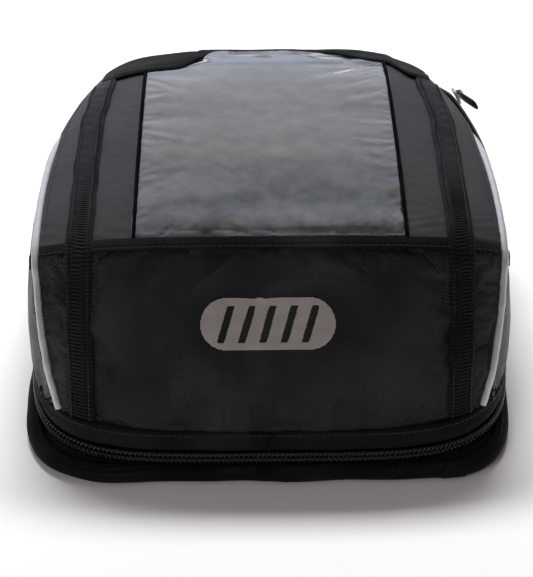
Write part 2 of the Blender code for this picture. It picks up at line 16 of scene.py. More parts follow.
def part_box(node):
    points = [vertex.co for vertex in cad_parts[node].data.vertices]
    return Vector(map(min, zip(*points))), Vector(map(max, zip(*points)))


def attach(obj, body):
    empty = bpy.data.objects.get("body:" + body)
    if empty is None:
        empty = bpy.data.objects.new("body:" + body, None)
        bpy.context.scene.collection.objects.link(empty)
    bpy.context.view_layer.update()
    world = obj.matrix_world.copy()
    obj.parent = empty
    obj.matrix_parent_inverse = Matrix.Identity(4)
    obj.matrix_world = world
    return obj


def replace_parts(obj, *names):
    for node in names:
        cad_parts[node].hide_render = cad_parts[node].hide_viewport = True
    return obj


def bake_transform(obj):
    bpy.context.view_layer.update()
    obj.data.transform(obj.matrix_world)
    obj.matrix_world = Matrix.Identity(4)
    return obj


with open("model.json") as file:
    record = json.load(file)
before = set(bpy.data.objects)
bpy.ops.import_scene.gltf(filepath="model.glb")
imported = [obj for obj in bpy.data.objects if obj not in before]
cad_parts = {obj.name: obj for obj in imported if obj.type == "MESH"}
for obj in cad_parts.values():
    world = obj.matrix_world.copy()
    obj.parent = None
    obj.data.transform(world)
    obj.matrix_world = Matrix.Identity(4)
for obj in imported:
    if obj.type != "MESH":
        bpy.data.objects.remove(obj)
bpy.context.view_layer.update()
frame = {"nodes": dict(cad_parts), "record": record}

# ---- sizes read from the frame ---------------------------------------------------------------------
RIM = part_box("base_binding")[1]
HEM_LOW, HEM_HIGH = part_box("hem_band")[0].z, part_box("hem_band")[1].z
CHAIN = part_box("base_zip_upper_coil")
CHAIN_INSET = RIM.y + CHAIN[0].y + 0.0011
HEM_INSET = CHAIN_INSET + 0.0015
JOINTS = {joint["name"]: joint for joint in frame["record"]["behaviour"]["joints"]}

# ---- the bag's lines -------------------------------------------------------------------------------
RIM_ROUNDNESS, FRONT_ROUNDNESS, REAR_ROUNDNESS = 7.5, 4.6, 7.0
CENTRE_LINE = np.array([
    (-0.1450, 0.0280), (-0.1375, 0.0510), (-0.1265, 0.0730), (-0.1140, 0.0955), (-0.0990, 0.1125),
    (-0.0500, 0.1198), (0.0030, 0.1225), (0.0580, 0.1215), (0.1120, 0.1115),
])
PIPING_LINE = np.array([
    (0.1080, -0.1255, 0.0280), (0.1130, -0.1180, 0.0470), (0.1160, -0.1090, 0.0660),
    (0.1177, -0.0995, 0.0840), (0.1187, -0.0880, 0.1005), (0.1182, -0.0400, 0.1075),
    (0.1145, 0.0080, 0.1085), (0.1057, 0.0550, 0.1070), (0.0955, 0.0990, 0.1010),
])
CROWN, CROWN_GROWTH = 3.6, 0.8
REAR_CORNER = 0.40
SIDE_BULGE, ZIP_BULGE = 0.0030, 0.0045
CHAIN_DROP, ZIP_END = 0.0078, 0.692
WINDOW_HALF_WIDTH = 0.0680
WINDOW_REAR, LEFT_FLARE, RIGHT_FLARE = 1.953, 0.140, 0.050
STRAP_REAR = 1.815
STRAP_CENTRE, STRAP_WIDTH, STRAP_DRIFT = 0.0955, 0.0135, 0.0040
STRAP_HOLD = 0.0052
PULL_LIFT = {"main": 12.0, "base": 0.0}
COIL_PITCH, COIL_HEIGHT, COIL_DEPTH, COIL_WIRE = 0.0024, 0.0034, 0.0022, 0.0004
RIB_PITCH, BINDING_RIB, HEM_RIB = 0.00185, 0.0017, 0.0011
PANEL_FACE = 0.0014
SEAM_STEP = 0.002
UP = (0.0, 0.0, 1.0)
SIDES = ((-1, "left"), (1, "right"))


# ---- surfaces, on arrays -----------------------------------------------------------------------------
def smoothstep(value, start, end):
    t = np.clip((np.asarray(value, float) - start) / (end - start), 0.0, 1.0)
    return t * t * (3.0 - 2.0 * t)


def catmull_rom(points, t):
    """Points at t in 0..1 on a smooth curve through evenly spaced points."""
    last = len(points) - 1
    place = np.clip(t, 0.0, 1.0) * last
    i = np.minimum(place.astype(int), last - 1)
    f = (place - i)[..., None]
    padded = np.vstack([2 * points[0] - points[1], points, 2 * points[-1] - points[-2]])
    p0, p1, p2, p3 = (padded[i + k] for k in range(4))
    return 0.5 * (2 * p1 + (p2 - p0) * f + (2 * p0 - 5 * p1 + 4 * p2 - p3) * f ** 2
                  + (3 * p1 - p0 - 3 * p2 + p3) * f ** 3)


def shroud(u, s):
    """Front panel and lid: u is -1..1 between the pipings, s is 0 at the hem, 1 at the shoulder, 2 behind."""
    u, s = np.broadcast_arrays(np.asarray(u, float), np.asarray(s, float))
    centre, edge = catmull_rom(CENTRE_LINE, s / 2), catmull_rom(PIPING_LINE, s / 2)
    fall = np.abs(u) ** (CROWN + CROWN_GROWTH * s)
    y = centre[..., 0] + (edge[..., 1] - centre[..., 0]) * fall
    z = centre[..., 1] + (edge[..., 2] - centre[..., 1]) * fall
    return np.stack([u * edge[..., 0], y, z], axis=-1)


def half_width(s):
    return catmull_rom(PIPING_LINE, np.asarray(s, float) / 2)[..., 0]


def shroud_at(x, s):
    x, s = np.broadcast_arrays(np.asarray(x, float), np.asarray(s, float))
    return shroud(x / half_width(s), s)


def superellipse(value, along, across, power):
    return across * (1.0 - np.minimum(np.abs(value / along), 1.0) ** power) ** (1.0 / power)


def outline(angle, inset, z, front_power=FRONT_ROUNDNESS):
    """Rounded outline of the base; angle 0 is the middle of the right side, a quarter turn the rear."""
    angle, inset, z = np.broadcast_arrays(np.asarray(angle, float), inset, z)
    c, s = np.cos(angle), np.sin(angle)
    power = 2.0 / np.where(s > 0.0, REAR_ROUNDNESS, front_power)
    x = (RIM.x - inset) * np.sign(c) * np.abs(c) ** power
    y = (RIM.y - inset) * np.sign(s) * np.abs(s) ** power
    return np.stack([x, y, z + 0.0 * x], axis=-1)


def wall_top(q):
    side = np.where(q < 0, -1.0, 1.0)
    on_side = shroud(side, 2.0 * (1.0 - np.abs(q)) / (1.0 - REAR_CORNER))
    at_rear = shroud(q / REAR_CORNER, 2.0)
    return np.where((np.abs(q) >= REAR_CORNER)[..., None], on_side, at_rear)


def wall_foot(q):
    across, along = RIM.x - HEM_INSET, RIM.y - HEM_INSET
    corner_y = 0.78 * along
    y = corner_y + (PIPING_LINE[0, 1] - corner_y) * (np.abs(q) - REAR_CORNER) / (1.0 - REAR_CORNER)
    power = np.where(y > 0.0, REAR_ROUNDNESS, FRONT_ROUNDNESS)
    side_x = np.sign(q) * superellipse(y, along, across, power)
    rear_x = superellipse(corner_y, along, across, REAR_ROUNDNESS) * q / REAR_CORNER
    rear_y = superellipse(rear_x, across, along, REAR_ROUNDNESS)
    on_side = np.abs(q) >= REAR_CORNER
    return np.stack([np.where(on_side, side_x, rear_x), np.where(on_side, y, rear_y), HEM_HIGH + 0.0 * q],
                    axis=-1)


def wall_height(q):
    q = np.asarray(q, float)
    return np.linalg.norm(wall_foot(q) - wall_top(q), axis=-1)


def wall(q, drop):
    """Side and rear wall: q is -1 at the left front, 0 behind, 1 at the right front; drop is downward."""
    q, drop = np.broadcast_arrays(np.asarray(q, float), np.asarray(drop, float))
    top, foot = wall_top(q), wall_foot(q)
    height = np.linalg.norm(foot - top, axis=-1)
    share = drop / height
    outward = np.stack([foot[..., 0] / RIM.x ** 2, foot[..., 1] / RIM.y ** 2, 0.0 * q], axis=-1)
    outward /= np.linalg.norm(outward, axis=-1, keepdims=True)
    bulge = SIDE_BULGE * np.minimum(height / 0.07, 1.0) * np.sin(np.pi * np.clip(share, 0.0, 1.0))
    near_slider = smoothstep(q, 0.385, 0.440) * np.clip((0.64 - q) / 0.20, 0.0, 1.0)
    below_edge = ZIP_BULGE * smoothstep(drop, 0.0, 0.0065) * smoothstep(-drop, -0.045, -0.014)
    bulge = bulge + below_edge * near_slider
    return top + (foot - top) * share[..., None] + outward * bulge[..., None]


def normals(surface, a, b, inside=(0.0, 0.0, 0.04)):
    """Unit normals of a surface, away from the inside of the bag."""
    step = 1e-3
    along_a = surface(a + step, b) - surface(a - step, b)
    along_b = surface(a, b + step) - surface(a, b - step)
    normal = np.cross(along_a, along_b)
    normal /= np.maximum(np.linalg.norm(normal, axis=-1, keepdims=True), 1e-12)
    sign = np.sign(np.sum(normal * (surface(a, b) - np.asarray(inside)), axis=-1, keepdims=True))
    return normal * np.where(sign == 0, 1.0, sign)


def ripple(x, y, size, seed):
    """Smooth noise in -1..1 with bumps of about this size, the same on each run."""
    rng = np.random.default_rng(seed)
    total = np.zeros(np.broadcast(x, y).shape)
    for _ in range(7):
        turn, phase, scale = rng.uniform(0, math.tau), rng.uniform(0, math.tau), rng.uniform(0.7, 1.5)
        total = total + np.sin((x * np.cos(turn) + y * np.sin(turn)) * math.tau / (2 * size * scale) + phase)
    return total / 3.5


# ---- meshes ------------------------------------------------------------------------------------------
def new_object(name, mesh, mat, body):
    obj = bpy.data.objects.new(name, mesh)
    bpy.context.scene.collection.objects.link(obj)
    mesh.materials.append(mat)
    if body is not None:
        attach(obj, body)
    return obj


def mesh_of(name, points, quads, uvs=None):
    """Mesh from arrays of corner points and four-sided faces, with one uv per corner point."""
    mesh = bpy.data.meshes.new(name)
    mesh.vertices.add(len(points))
    mesh.vertices.foreach_set("co", np.asarray(points, np.float32).ravel())
    mesh.loops.add(quads.size)
    mesh.loops.foreach_set("vertex_index", quads.astype(np.int32).ravel())
    mesh.polygons.add(len(quads))
    mesh.polygons.foreach_set("loop_start", np.arange(0, quads.size, 4, dtype=np.int32))
    mesh.update(calc_edges=True)
    if uvs is not None:
        layer = mesh.uv_layers.new(name="metres")
        layer.data.foreach_set("uv", uvs[quads.ravel()].astype(np.float32).ravel())
    mesh.validate()
    mesh.shade_smooth()
    return mesh


def grid_quads(rows, columns, ring=False):
    index = np.arange(rows * columns).reshape(rows, columns)
    if ring:
        index = np.vstack([index, index[:1]])
    return np.stack([index[:-1, :-1], index[1:, :-1], index[1:, 1:], index[:-1, 1:]], axis=-1).reshape(-1, 4)


def lengths_along(points, axis):
    """Distance along each grid line, in metres."""
    steps = np.linalg.norm(np.diff(points, axis=axis), axis=-1)
    start = np.zeros_like(np.take(steps, [0], axis=axis))
    return np.concatenate([start, np.cumsum(steps, axis=axis)], axis=axis)


def face_normal(points, quad):
    return np.cross(points[quad[1]] - points[quad[0]], points[quad[3]] - points[quad[0]])


def facing_out(points, quads, outward):
    """The faces, turned over where the middle one faces against the outward directions of its corners."""
    middle = quads[len(quads) // 2]
    against = face_normal(points.reshape(-1, 3), middle) @ outward.reshape(-1, 3)[middle[0]] < 0
    return quads[:, ::-1] if against else quads


def thicken(obj, thickness, offset=-1.0):
    solid = obj.modifiers.new("Thickness", "SOLIDIFY")
    solid.thickness, solid.offset = thickness, offset


def sheet(name, surface, a, b, mat, body, lift, thickness, relief=None, ring=False,
          stands_for=None):
    """A sheet of cloth on a surface. a and b are values along its two edges, b one row or one row for each a.

    lift is the height of its outer face above the surface, and relief(along_a, along_b, length_a, length_b)
    adds to it. stands_for is the frame's node that the sheet replaces.
    """
    a, b = np.asarray(a, float), np.asarray(b, float)
    grid_a = np.repeat(a[:, None], b.shape[-1], axis=1)
    grid_b = np.broadcast_to(b, grid_a.shape)
    points = surface(grid_a, grid_b)
    outward = normals(surface, grid_a, grid_b)
    along_a, along_b = lengths_along(points, 0), lengths_along(points, 1)
    height = np.full(grid_a.shape, lift)
    if relief is not None:
        height = height + relief(along_a, along_b, along_a[-1].mean(), along_b[:, -1].mean())
    points = points + outward * height[..., None]
    quads = facing_out(points, grid_quads(*grid_a.shape, ring=ring), outward)
    middle = along_a[:, along_a.shape[1] // 2][:, None] + 0.0 * along_a
    uvs = np.stack([middle, along_b], axis=-1).reshape(-1, 2)
    mesh = mesh_of(name, points.reshape(-1, 3), quads, uvs)
    obj = new_object(name, mesh, mat, body)
    if thickness > 0.0:
        thicken(obj, thickness)
    if stands_for is not None:
        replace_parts(obj, stands_for)
    return obj


def line_frames(points, outward, ring=False):
    """Unit tangents, outward directions and sideways directions along a line of points."""
    if ring:
        tangent = np.roll(points, -1, axis=0) - np.roll(points, 1, axis=0)
    else:
        tangent = np.gradient(points, axis=0)
    tangent /= np.linalg.norm(tangent, axis=1, keepdims=True)
    out = outward - tangent * np.sum(outward * tangent, axis=1, keepdims=True)
    out /= np.linalg.norm(out, axis=1, keepdims=True)
    return tangent, out, np.cross(out, tangent)


def resample(points, values, step, ring=False):
    """The line and the values carried on it at even steps of about this length."""
    if ring:
        points, values = np.vstack([points, points[:1]]), np.vstack([values, values[:1]])
    along = lengths_along(points, 0)
    count = max(int(round(along[-1] / step)), 2)
    wanted = np.linspace(0.0, along[-1], count + 1)
    if ring:
        wanted = wanted[:-1]
    pick = [np.interp(wanted, along, column) for column in np.hstack([points, values]).T]
    stacked = np.stack(pick, axis=1)
    return stacked[:, :3], stacked[:, 3:], wanted


def tube_quads(rows, sides, ring=False):
    """Faces of a tube whose points are listed ring by ring."""
    index = np.arange(rows * sides).reshape(rows, sides)
    index = np.hstack([index, index[:, :1]])
    if ring:
        index = np.vstack([index, index[:1]])
    return np.stack([index[:-1, :-1], index[:-1, 1:], index[1:, 1:], index[1:, :-1]], axis=-1).reshape(-1, 4)


def tube_mesh(name, points, radius, sides=8, ring=False, outward=None):
    """Round cord along a line of points, with closed ends. radius may change along it."""
    if outward is None:
        outward = np.tile((0.0, 0.0, 1.0), (len(points), 1)) + 0.01
    out, across = line_frames(points, outward, ring)[1:]
    angles = np.arange(sides) * math.tau / sides
    radius = np.broadcast_to(radius, len(points))[:, None, None]
    circle = out[:, None] * np.cos(angles)[None, :, None] + across[:, None] * np.sin(angles)[None, :, None]
    skin = points[:, None] + circle * radius
    quads = tube_quads(len(points), sides, ring)
    along = lengths_along(points, 0)
    uvs = np.stack([np.repeat(along, sides), np.tile(angles * float(radius.mean()), len(points))], axis=1)
    skin = skin.reshape(-1, 3)
    if not ring:
        for end in (0, len(points) - 1):
            row = end * sides + np.arange(sides + 1) % sides
            hub = len(skin)
            skin = np.vstack([skin, points[end]])
            uvs = np.vstack([uvs, (along[end], 0.0)])
            cap = np.array([(hub, row[k + 2], row[k + 1], row[k]) for k in range(0, sides, 2)])
            quads = np.vstack([quads, cap[:, ::-1] if end else cap])
    return mesh_of(name, skin, quads, uvs)


def scatter(name, template, faces, places, mat, body):
    """Copies of a small template at places, each a centre with three axis vectors, joined in one mesh."""
    centres, axes = places
    points = centres[:, None] + np.einsum("tk,nkj->ntj", template, axes)
    offsets = np.arange(len(centres))[:, None, None] * len(template)
    quads = (faces[None] + offsets).reshape(-1, 4)
    return new_object(name, mesh_of(name, points.reshape(-1, 3), quads), mat, body)


def bead_template(length, width, height, sides=6, rings=5):
    """Rounded bead, such as a stitch: points along x, closed at both ends."""
    points, faces = [], []
    for i in range(rings):
        turn = math.pi * (i + 0.5) / rings
        x, r = -0.5 * length * math.cos(turn), math.sin(turn) ** 0.5
        for k in range(sides):
            angle = math.tau * k / sides
            points.append((x, 0.5 * width * r * math.cos(angle), 0.5 * height * r * math.sin(angle)))
    for i in range(rings - 1):
        for k in range(sides):
            j = (k + 1) % sides
            faces.append((i * sides + k, i * sides + j, (i + 1) * sides + j, (i + 1) * sides + k))
    for row in (0, (rings - 1) * sides):
        for k in range(1, sides - 1, 2):
            cap = (row, row + k, row + k + 1, row + min(k + 2, sides - 1))
            faces.append(cap if row else cap[::-1])
    return np.array(points), np.array([f for f in faces if len(set(f)) == 4])


def stitches(name, points, outward, body, pitch=0.0030, length=0.0023, width=0.0005, slant=0.0):
    """A row of thread stitches lying along a line."""
    line, out, _ = resample(np.asarray(points), np.asarray(outward), pitch)
    tangent, out, across = line_frames(line, out)
    tangent = tangent + across * slant
    tangent /= np.linalg.norm(tangent, axis=1, keepdims=True)
    template, faces = bead_template(length, width, width * 0.8)
    axes = np.stack([tangent, np.cross(out, tangent), out], axis=1)
    return scatter(name, template, faces, (line, axes), THREAD, body)


# ---- materials ---------------------------------------------------------------------------------------
def node(tree, kind, inputs, **settings):
    made = tree.nodes.new("ShaderNode" + kind)
    for key, value in settings.items():
        setattr(made, key, value)
    for key, value in inputs.items():
        if isinstance(value, bpy.types.NodeSocket):
            tree.links.new(value, made.inputs[key])
        else:
            made.inputs[key].default_value = value
    return made


def calc(tree, operation, *values):
    return node(tree, "Math", dict(enumerate(values)), operation=operation).outputs[0]


def blend_colours(tree, factor, first, second):
    inputs = {"Factor": factor, 6: (*first, 1.0), 7: (*second, 1.0)}
    return node(tree, "Mix", inputs, data_type="RGBA").outputs[2]


def ramp(tree, value, low, high, start=0.0, end=1.0):
    inputs = {"Value": value, "From Min": low, "From Max": high, "To Min": start, "To Max": end}
    return node(tree, "MapRange", inputs).outputs[0]


def places(tree, kind="Object"):
    return node(tree, "TexCoord", {}).outputs[kind]


def noise(tree, vector, size, detail=3.0, roughness=0.5):
    """Noise with patches of about this size in metres."""
    inputs = {"Vector": vector, "Scale": 1.0 / size, "Detail": detail, "Roughness": roughness}
    return node(tree, "TexNoise", inputs).outputs["Fac"]


def bump(tree, height, distance, strength=1.0, under=None):
    inputs = {"Height": height, "Distance": distance, "Strength": strength}
    if under is not None:
        inputs["Normal"] = under
    return node(tree, "Bump", inputs).outputs["Normal"]


def yarn_grid(tree, pitch_u, pitch_v, shift=0.0):
    """Height of a plain weave, 0..1: yarns over and under each other at this pitch."""
    place = node(tree, "Mapping",
                 {"Vector": places(tree, "UV"), "Scale": (math.tau / pitch_u, math.tau / pitch_v, 1.0)})
    split = node(tree, "SeparateXYZ", {"Vector": place.outputs[0]})
    warp = calc(tree, "SINE", split.outputs["X"])
    weft = calc(tree, "SINE", calc(tree, "MULTIPLY_ADD", split.outputs["X"], shift, split.outputs["Y"]))
    return calc(tree, "MULTIPLY_ADD", calc(tree, "MULTIPLY", warp, weft), 0.5, 0.5)


def new_material(name, colour, roughness, **inputs):
    mat = bpy.data.materials.new(name)
    mat.use_nodes = True
    mat.diffuse_color = (*colour, 1.0)
    surface = mat.node_tree.nodes["Principled BSDF"]
    surface.inputs["Base Color"].default_value = (*colour, 1.0)
    surface.inputs["Roughness"].default_value = roughness
    for key, value in inputs.items():
        surface.inputs[key.replace("_", " ")].default_value = value
    return mat, mat.node_tree, surface


def link(tree, value, surface, key):
    tree.links.new(value, surface.inputs[key])


def cloth(name, dark, light, pitch=(0.0009, 0.0009), depth=0.00012, roughness=0.72, sheen=0.25, shift=0.0,
          shade_patch=0.035, gloss=0.16, rib_shade_pitch=None, rib_shade_lean=0.0):
    """Woven cloth: yarns in relief, with painted highlights on the yarns and painted shade between them and
    between the ribs, and broad patches of painted shading and sheen like soft folds.
    """
    mat, tree, surface = new_material(name, light, roughness)
    place = places(tree)
    yarns = yarn_grid(tree, *pitch, shift=shift)
    fuzz = noise(tree, place, 0.0006, 2.0)
    # Painted light: broad patches of painted shading and sheen like soft folds, which also give the cloth
    # soft bumps.
    patches = ramp(tree, noise(tree, place, shade_patch, 3.0), 0.35, 0.65, 0.15, 0.85)
    # The tone: painted highlights on the yarns' crowns with painted shade between them, the painted patches,
    # and the yarns' own fine fuzz.
    tone = calc(tree, "MULTIPLY_ADD", yarns, 0.55,
                calc(tree, "MULTIPLY_ADD", patches, 0.45, calc(tree, "MULTIPLY", fuzz, 0.25)))
    # Painted shade in the grooves between the ribs: the tone is darkened there.
    if rib_shade_pitch is not None:
        place = node(tree, "SeparateXYZ", {"Vector": places(tree, "UV")})
        across = calc(tree, "MULTIPLY_ADD", place.outputs["Y"], rib_shade_lean, place.outputs["X"])
        wave = calc(tree, "ABSOLUTE", calc(tree, "SINE", calc(tree, "MULTIPLY", across, math.pi / rib_shade_pitch)))
        tone = calc(tree, "MULTIPLY", tone, ramp(tree, wave, 0.15, 0.75, 0.25, 1.15))
    link(tree, blend_colours(tree, ramp(tree, tone, 0.40, 0.90), dark, light), surface, "Base Color")
    link(tree, ramp(tree, tone, 0.2, 1.0, roughness + 0.1, roughness - 0.1), surface, "Roughness")
    relief = calc(tree, "MULTIPLY_ADD", fuzz, 0.5, yarns)
    soft = bump(tree, patches, 0.0012, 0.35)
    link(tree, bump(tree, relief, depth, 1.0, soft), surface, "Normal")
    surface.inputs["Specular IOR Level"].default_value = gloss
    surface.inputs["Sheen Weight"].default_value = sheen
    surface.inputs["Sheen Roughness"].default_value = 0.5
    surface.inputs["Sheen Tint"].default_value = (0.55, 0.62, 0.85, 1.0)
    return mat


def leather(name):
    """Synthetic leather: a fine pebbled grain with shallow creases and a soft satin face."""
    dark, light = (0.016, 0.016, 0.0165), (0.040, 0.040, 0.041)
    mat, tree, surface = new_material(name, light, 0.5, Specular_IOR_Level=0.35)
    place = places(tree)
    cells = node(tree, "TexVoronoi", {"Vector": place, "Scale": 1500.0},
                 feature="DISTANCE_TO_EDGE").outputs["Distance"]
    grain = calc(tree, "MINIMUM", calc(tree, "MULTIPLY", cells, 3.2), 1.0)
    pores = noise(tree, place, 0.0005, 3.0)
    stretch = node(tree, "Mapping", {"Vector": place, "Scale": (1.0, 0.16, 0.16)}).outputs[0]
    creases = noise(tree, stretch, 0.0035, 4.0, 0.6)
    patches = noise(tree, place, 0.03, 2.0)
    tone = calc(tree, "MULTIPLY_ADD", grain, 0.4,
                calc(tree, "MULTIPLY_ADD", patches, 0.5, calc(tree, "MULTIPLY", pores, 0.2)))
    link(tree, blend_colours(tree, ramp(tree, tone, 0.2, 1.0), dark, light), surface, "Base Color")
    link(tree, ramp(tree, tone, 0.2, 1.0, 0.62, 0.44), surface, "Roughness")
    folds = bump(tree, creases, 0.0004, 0.5)
    link(tree, bump(tree, calc(tree, "MULTIPLY_ADD", pores, 0.4, grain), 0.00007, 1.0, folds), surface,
         "Normal")
    return mat


def thread(name, colour=(0.006, 0.006, 0.0065)):
    """Twisted thread with a slight shine."""
    mat, tree, surface = new_material(name, colour, 0.5, Sheen_Weight=0.2)
    twist = noise(tree, places(tree), 0.0003, 2.0)
    link(tree, bump(tree, twist, 0.00005, 0.8), surface, "Normal")
    link(tree, ramp(tree, twist, 0.3, 0.7, 0.38, 0.62), surface, "Roughness")
    return mat


def nylon(name):
    """Zip coil: smooth nylon filament, shiny on its crowns."""
    mat, tree, surface = new_material(name, (0.075, 0.075, 0.078), 0.22, Metallic=0.6, Coat_Weight=0.9,
                                      Coat_Roughness=0.12)
    wear = noise(tree, places(tree), 0.004, 3.0)
    link(tree, ramp(tree, wear, 0.3, 0.7, 0.24, 0.4), surface, "Roughness")
    link(tree, blend_colours(tree, wear, (0.008, 0.008, 0.010), (0.022, 0.022, 0.026)), surface, "Base Color")
    link(tree, bump(tree, noise(tree, places(tree), 0.0004, 2.0), 0.00003, 0.5), surface, "Normal")
    return mat


def film(name):
    """Clear soft film: see-through straight on and mirror-like at a slant, a little scuffed."""
    mat, tree, surface = new_material(name, (0.80, 0.80, 0.78), 0.3)
    place = places(tree)
    stretch = node(tree, "Mapping", {"Vector": place, "Scale": (0.5, 1.0, 1.0)}).outputs[0]
    waves = noise(tree, stretch, 0.040, 1.5)
    scuffs = noise(tree, place, 0.009, 5.0, 0.65)
    normal = bump(tree, waves, 0.004, 0.35)
    link(tree, normal, surface, "Normal")
    clear = node(tree, "BsdfTransparent", {"Color": (0.93, 0.93, 0.91, 1.0)})
    dull = ramp(tree, scuffs, 0.35, 0.75, 0.0, 0.07)
    veil = node(tree, "MixShader", {0: dull, 1: clear.outputs[0], 2: surface.outputs[0]})
    gloss = node(tree, "BsdfGlossy", {"Color": (0.93, 0.95, 1.0, 1.0), "Normal": normal})
    link(tree, ramp(tree, scuffs, 0.3, 0.8, 0.05, 0.12), gloss, "Roughness")
    one_face = node(tree, "Fresnel", {"IOR": 1.52, "Normal": normal}).outputs[0]
    both_faces = calc(tree, "MULTIPLY", one_face, 1.6)
    mixed = node(tree, "MixShader", {0: both_faces, 1: veil.outputs[0], 2: gloss.outputs[0]})
    tree.links.new(mixed.outputs[0], tree.nodes["Material Output"].inputs["Surface"])
    return mat


def reflective(name, colour, roughness=0.38, metal=0.55):
    """Retroreflective cloth: tiny glass beads over silver, brighter towards the light."""
    mat, tree, surface = new_material(name, colour, roughness, Metallic=metal)
    place = places(tree)
    beads = node(tree, "TexVoronoi", {"Vector": place, "Scale": 5200.0}).outputs["Distance"]
    smudges = noise(tree, place, 0.008, 4.0, 0.6)
    dim = tuple(0.82 * c for c in colour)
    link(tree, blend_colours(tree, ramp(tree, smudges, 0.3, 0.7), dim, colour), surface, "Base Color")
    link(tree, ramp(tree, smudges, 0.3, 0.7, roughness - 0.06, roughness + 0.12), surface, "Roughness")
    folds = bump(tree, noise(tree, place, 0.0035, 3.0), 0.0006, 0.35)
    link(tree, bump(tree, beads, 0.00004, 0.5, folds), surface, "Normal")
    return mat


def metal(name, colour, roughness):
    """Plated metal, a little dulled and scratched."""
    mat, tree, surface = new_material(name, colour, roughness, Metallic=1.0)
    place = places(tree)
    stain = noise(tree, place, 0.0025, 4.0, 0.6)
    scratch = noise(tree, node(tree, "Mapping", {"Vector": place, "Scale": (1.0, 0.08, 1.0)}).outputs[0],
                    0.0003, 2.0)
    worn = tuple(0.6 * c for c in colour)
    link(tree, blend_colours(tree, ramp(tree, stain, 0.35, 0.65), worn, colour), surface, "Base Color")
    link(tree, ramp(tree, stain, 0.3, 0.7, roughness + 0.12, roughness - 0.06), surface, "Roughness")
    link(tree, bump(tree, scratch, 0.00004, 0.5), surface, "Normal")
    return mat


def board(name, colour, roughness, size):
    """Foam, stiffener or rubber: fine cells and faint clouding."""
    mat, tree, surface = new_material(name, colour, roughness)
    place = places(tree)
    cells = node(tree, "TexVoronoi", {"Vector": place, "Scale": 1.0 / size}).outputs["Distance"]
    clouds = noise(tree, place, 0.02, 3.0)
    light = tuple(min(1.0, 1.5 * c) for c in colour)
    link(tree, blend_colours(tree, clouds, colour, light), surface, "Base Color")
    link(tree, bump(tree, cells, size * 0.3, 0.7), surface, "Normal")
    return mat


def hooks(name, colour, size):
    """Hook or loop tape: a dense fuzzy pile."""
    mat, tree, surface = new_material(name, colour, 0.85, Sheen_Weight=0.5)
    pile = noise(tree, places(tree), size, 4.0, 0.8)
    light = tuple(2.2 * c for c in colour)
    link(tree, blend_colours(tree, ramp(tree, pile, 0.35, 0.65), colour, light), surface, "Base Color")
    link(tree, bump(tree, pile, size, 0.9), surface, "Normal")
    return mat


# Dark and light ends of the cloths' tone: between them lie each cloth's own colour and the painted highlights
# and painted shade on its yarns, ribs and folds.
NAVY_BLACK = ((0.0004, 0.0004, 0.0005), (0.0275, 0.0275, 0.0300))
BLACK = ((0.0006, 0.0006, 0.0006), (0.0100, 0.0100, 0.0104))
# A black whose light end is the painted highlight on the hem's yarns and on the webbing's ribs.
HIGHLIT_BLACK = ((0.0004, 0.0004, 0.0004), (0.0165, 0.0165, 0.0170))
DEEP_BLACK = ((0.0004, 0.0004, 0.0004), (0.0040, 0.0040, 0.0042))
CANVAS = cloth("woven_polyester", *NAVY_BLACK, pitch=(0.0017, 0.0017), depth=0.0003, roughness=0.42,
               sheen=0.02, gloss=0.22)
HEM = cloth("hem_polyester", *HIGHLIT_BLACK, pitch=(0.0008, 0.0008), roughness=0.7, sheen=0.02, shift=0.5,
            gloss=0.12)
LINING = cloth("lining_polyester", (0.008, 0.008, 0.009), (0.026, 0.026, 0.028), pitch=(0.0006, 0.0006),
               roughness=0.6, sheen=0.03)
# Webbing: painted shade between its ladder ribs.
WEBBING = cloth("ribbed_webbing", *HIGHLIT_BLACK, pitch=(0.0011, 0.0007), depth=0.00016, roughness=0.45,
                sheen=0.02, gloss=0.12, rib_shade_pitch=RIB_PITCH)
TAPE_CLOTH = cloth("zip_tape", *DEEP_BLACK, pitch=(0.0007, 0.0012), roughness=0.75, sheen=0.0, shift=0.5,
                   gloss=0.03)
# Binding: painted shade between its slanted ribs.
BINDING = cloth("grosgrain_binding", (0.0002, 0.0002, 0.0002), (0.0190, 0.0190, 0.0195),
                pitch=(0.0016, 0.0009), depth=0.0002, roughness=0.5, sheen=0.0, gloss=0.08,
                rib_shade_pitch=BINDING_RIB, rib_shade_lean=0.55)
BAND_CLOTH = cloth("rear_band_cloth", *BLACK, pitch=(0.0016, 0.0012), depth=0.0002, roughness=0.6, sheen=0.0,
                   gloss=0.08)
BACKING = cloth("window_backing", (0.078, 0.064, 0.051), (0.106, 0.090, 0.074), pitch=(0.0024, 0.0016),
                depth=0.00005, roughness=0.8, sheen=0.05)
LEATHER = leather("synthetic_leather")
NYLON = nylon("coil_nylon")
FILM = film("clear_film")
SILVER = reflective("reflective_cord", (0.62, 0.61, 0.63))
MARK = reflective("reflective_print", (0.40, 0.365, 0.35), roughness=0.55, metal=0.25)
THREAD = thread("black_thread")
NICKEL = metal("worn_nickel", (0.66, 0.58, 0.50), 0.30)
GUNMETAL = metal("gunmetal", (0.030, 0.030, 0.032), 0.35)
STIFFENER = board("stiffener_board", (0.02, 0.02, 0.02), 0.6, 0.002)
STEEL = metal("magnet_plating", (0.42, 0.42, 0.43), 0.3)
RUBBER = board("anti_slip_rubber", (0.012, 0.012, 0.012), 0.75, 0.0012)
LOOP_PILE = hooks("loop_pile", (0.010, 0.010, 0.011), 0.0007)
HOOK_PILE = hooks("hook_pile", (0.008, 0.008, 0.009), 0.0011)


# ---- soft surfaces -----------------------------------------------------------------------------------
def cubic_weights(f):
    return np.stack([-0.5 * f + f ** 2 - 0.5 * f ** 3, 1.0 - 2.5 * f ** 2 + 1.5 * f ** 3,
                     0.5 * f + 2.0 * f ** 2 - 1.5 * f ** 3, -0.5 * f ** 2 + 0.5 * f ** 3], axis=-1)


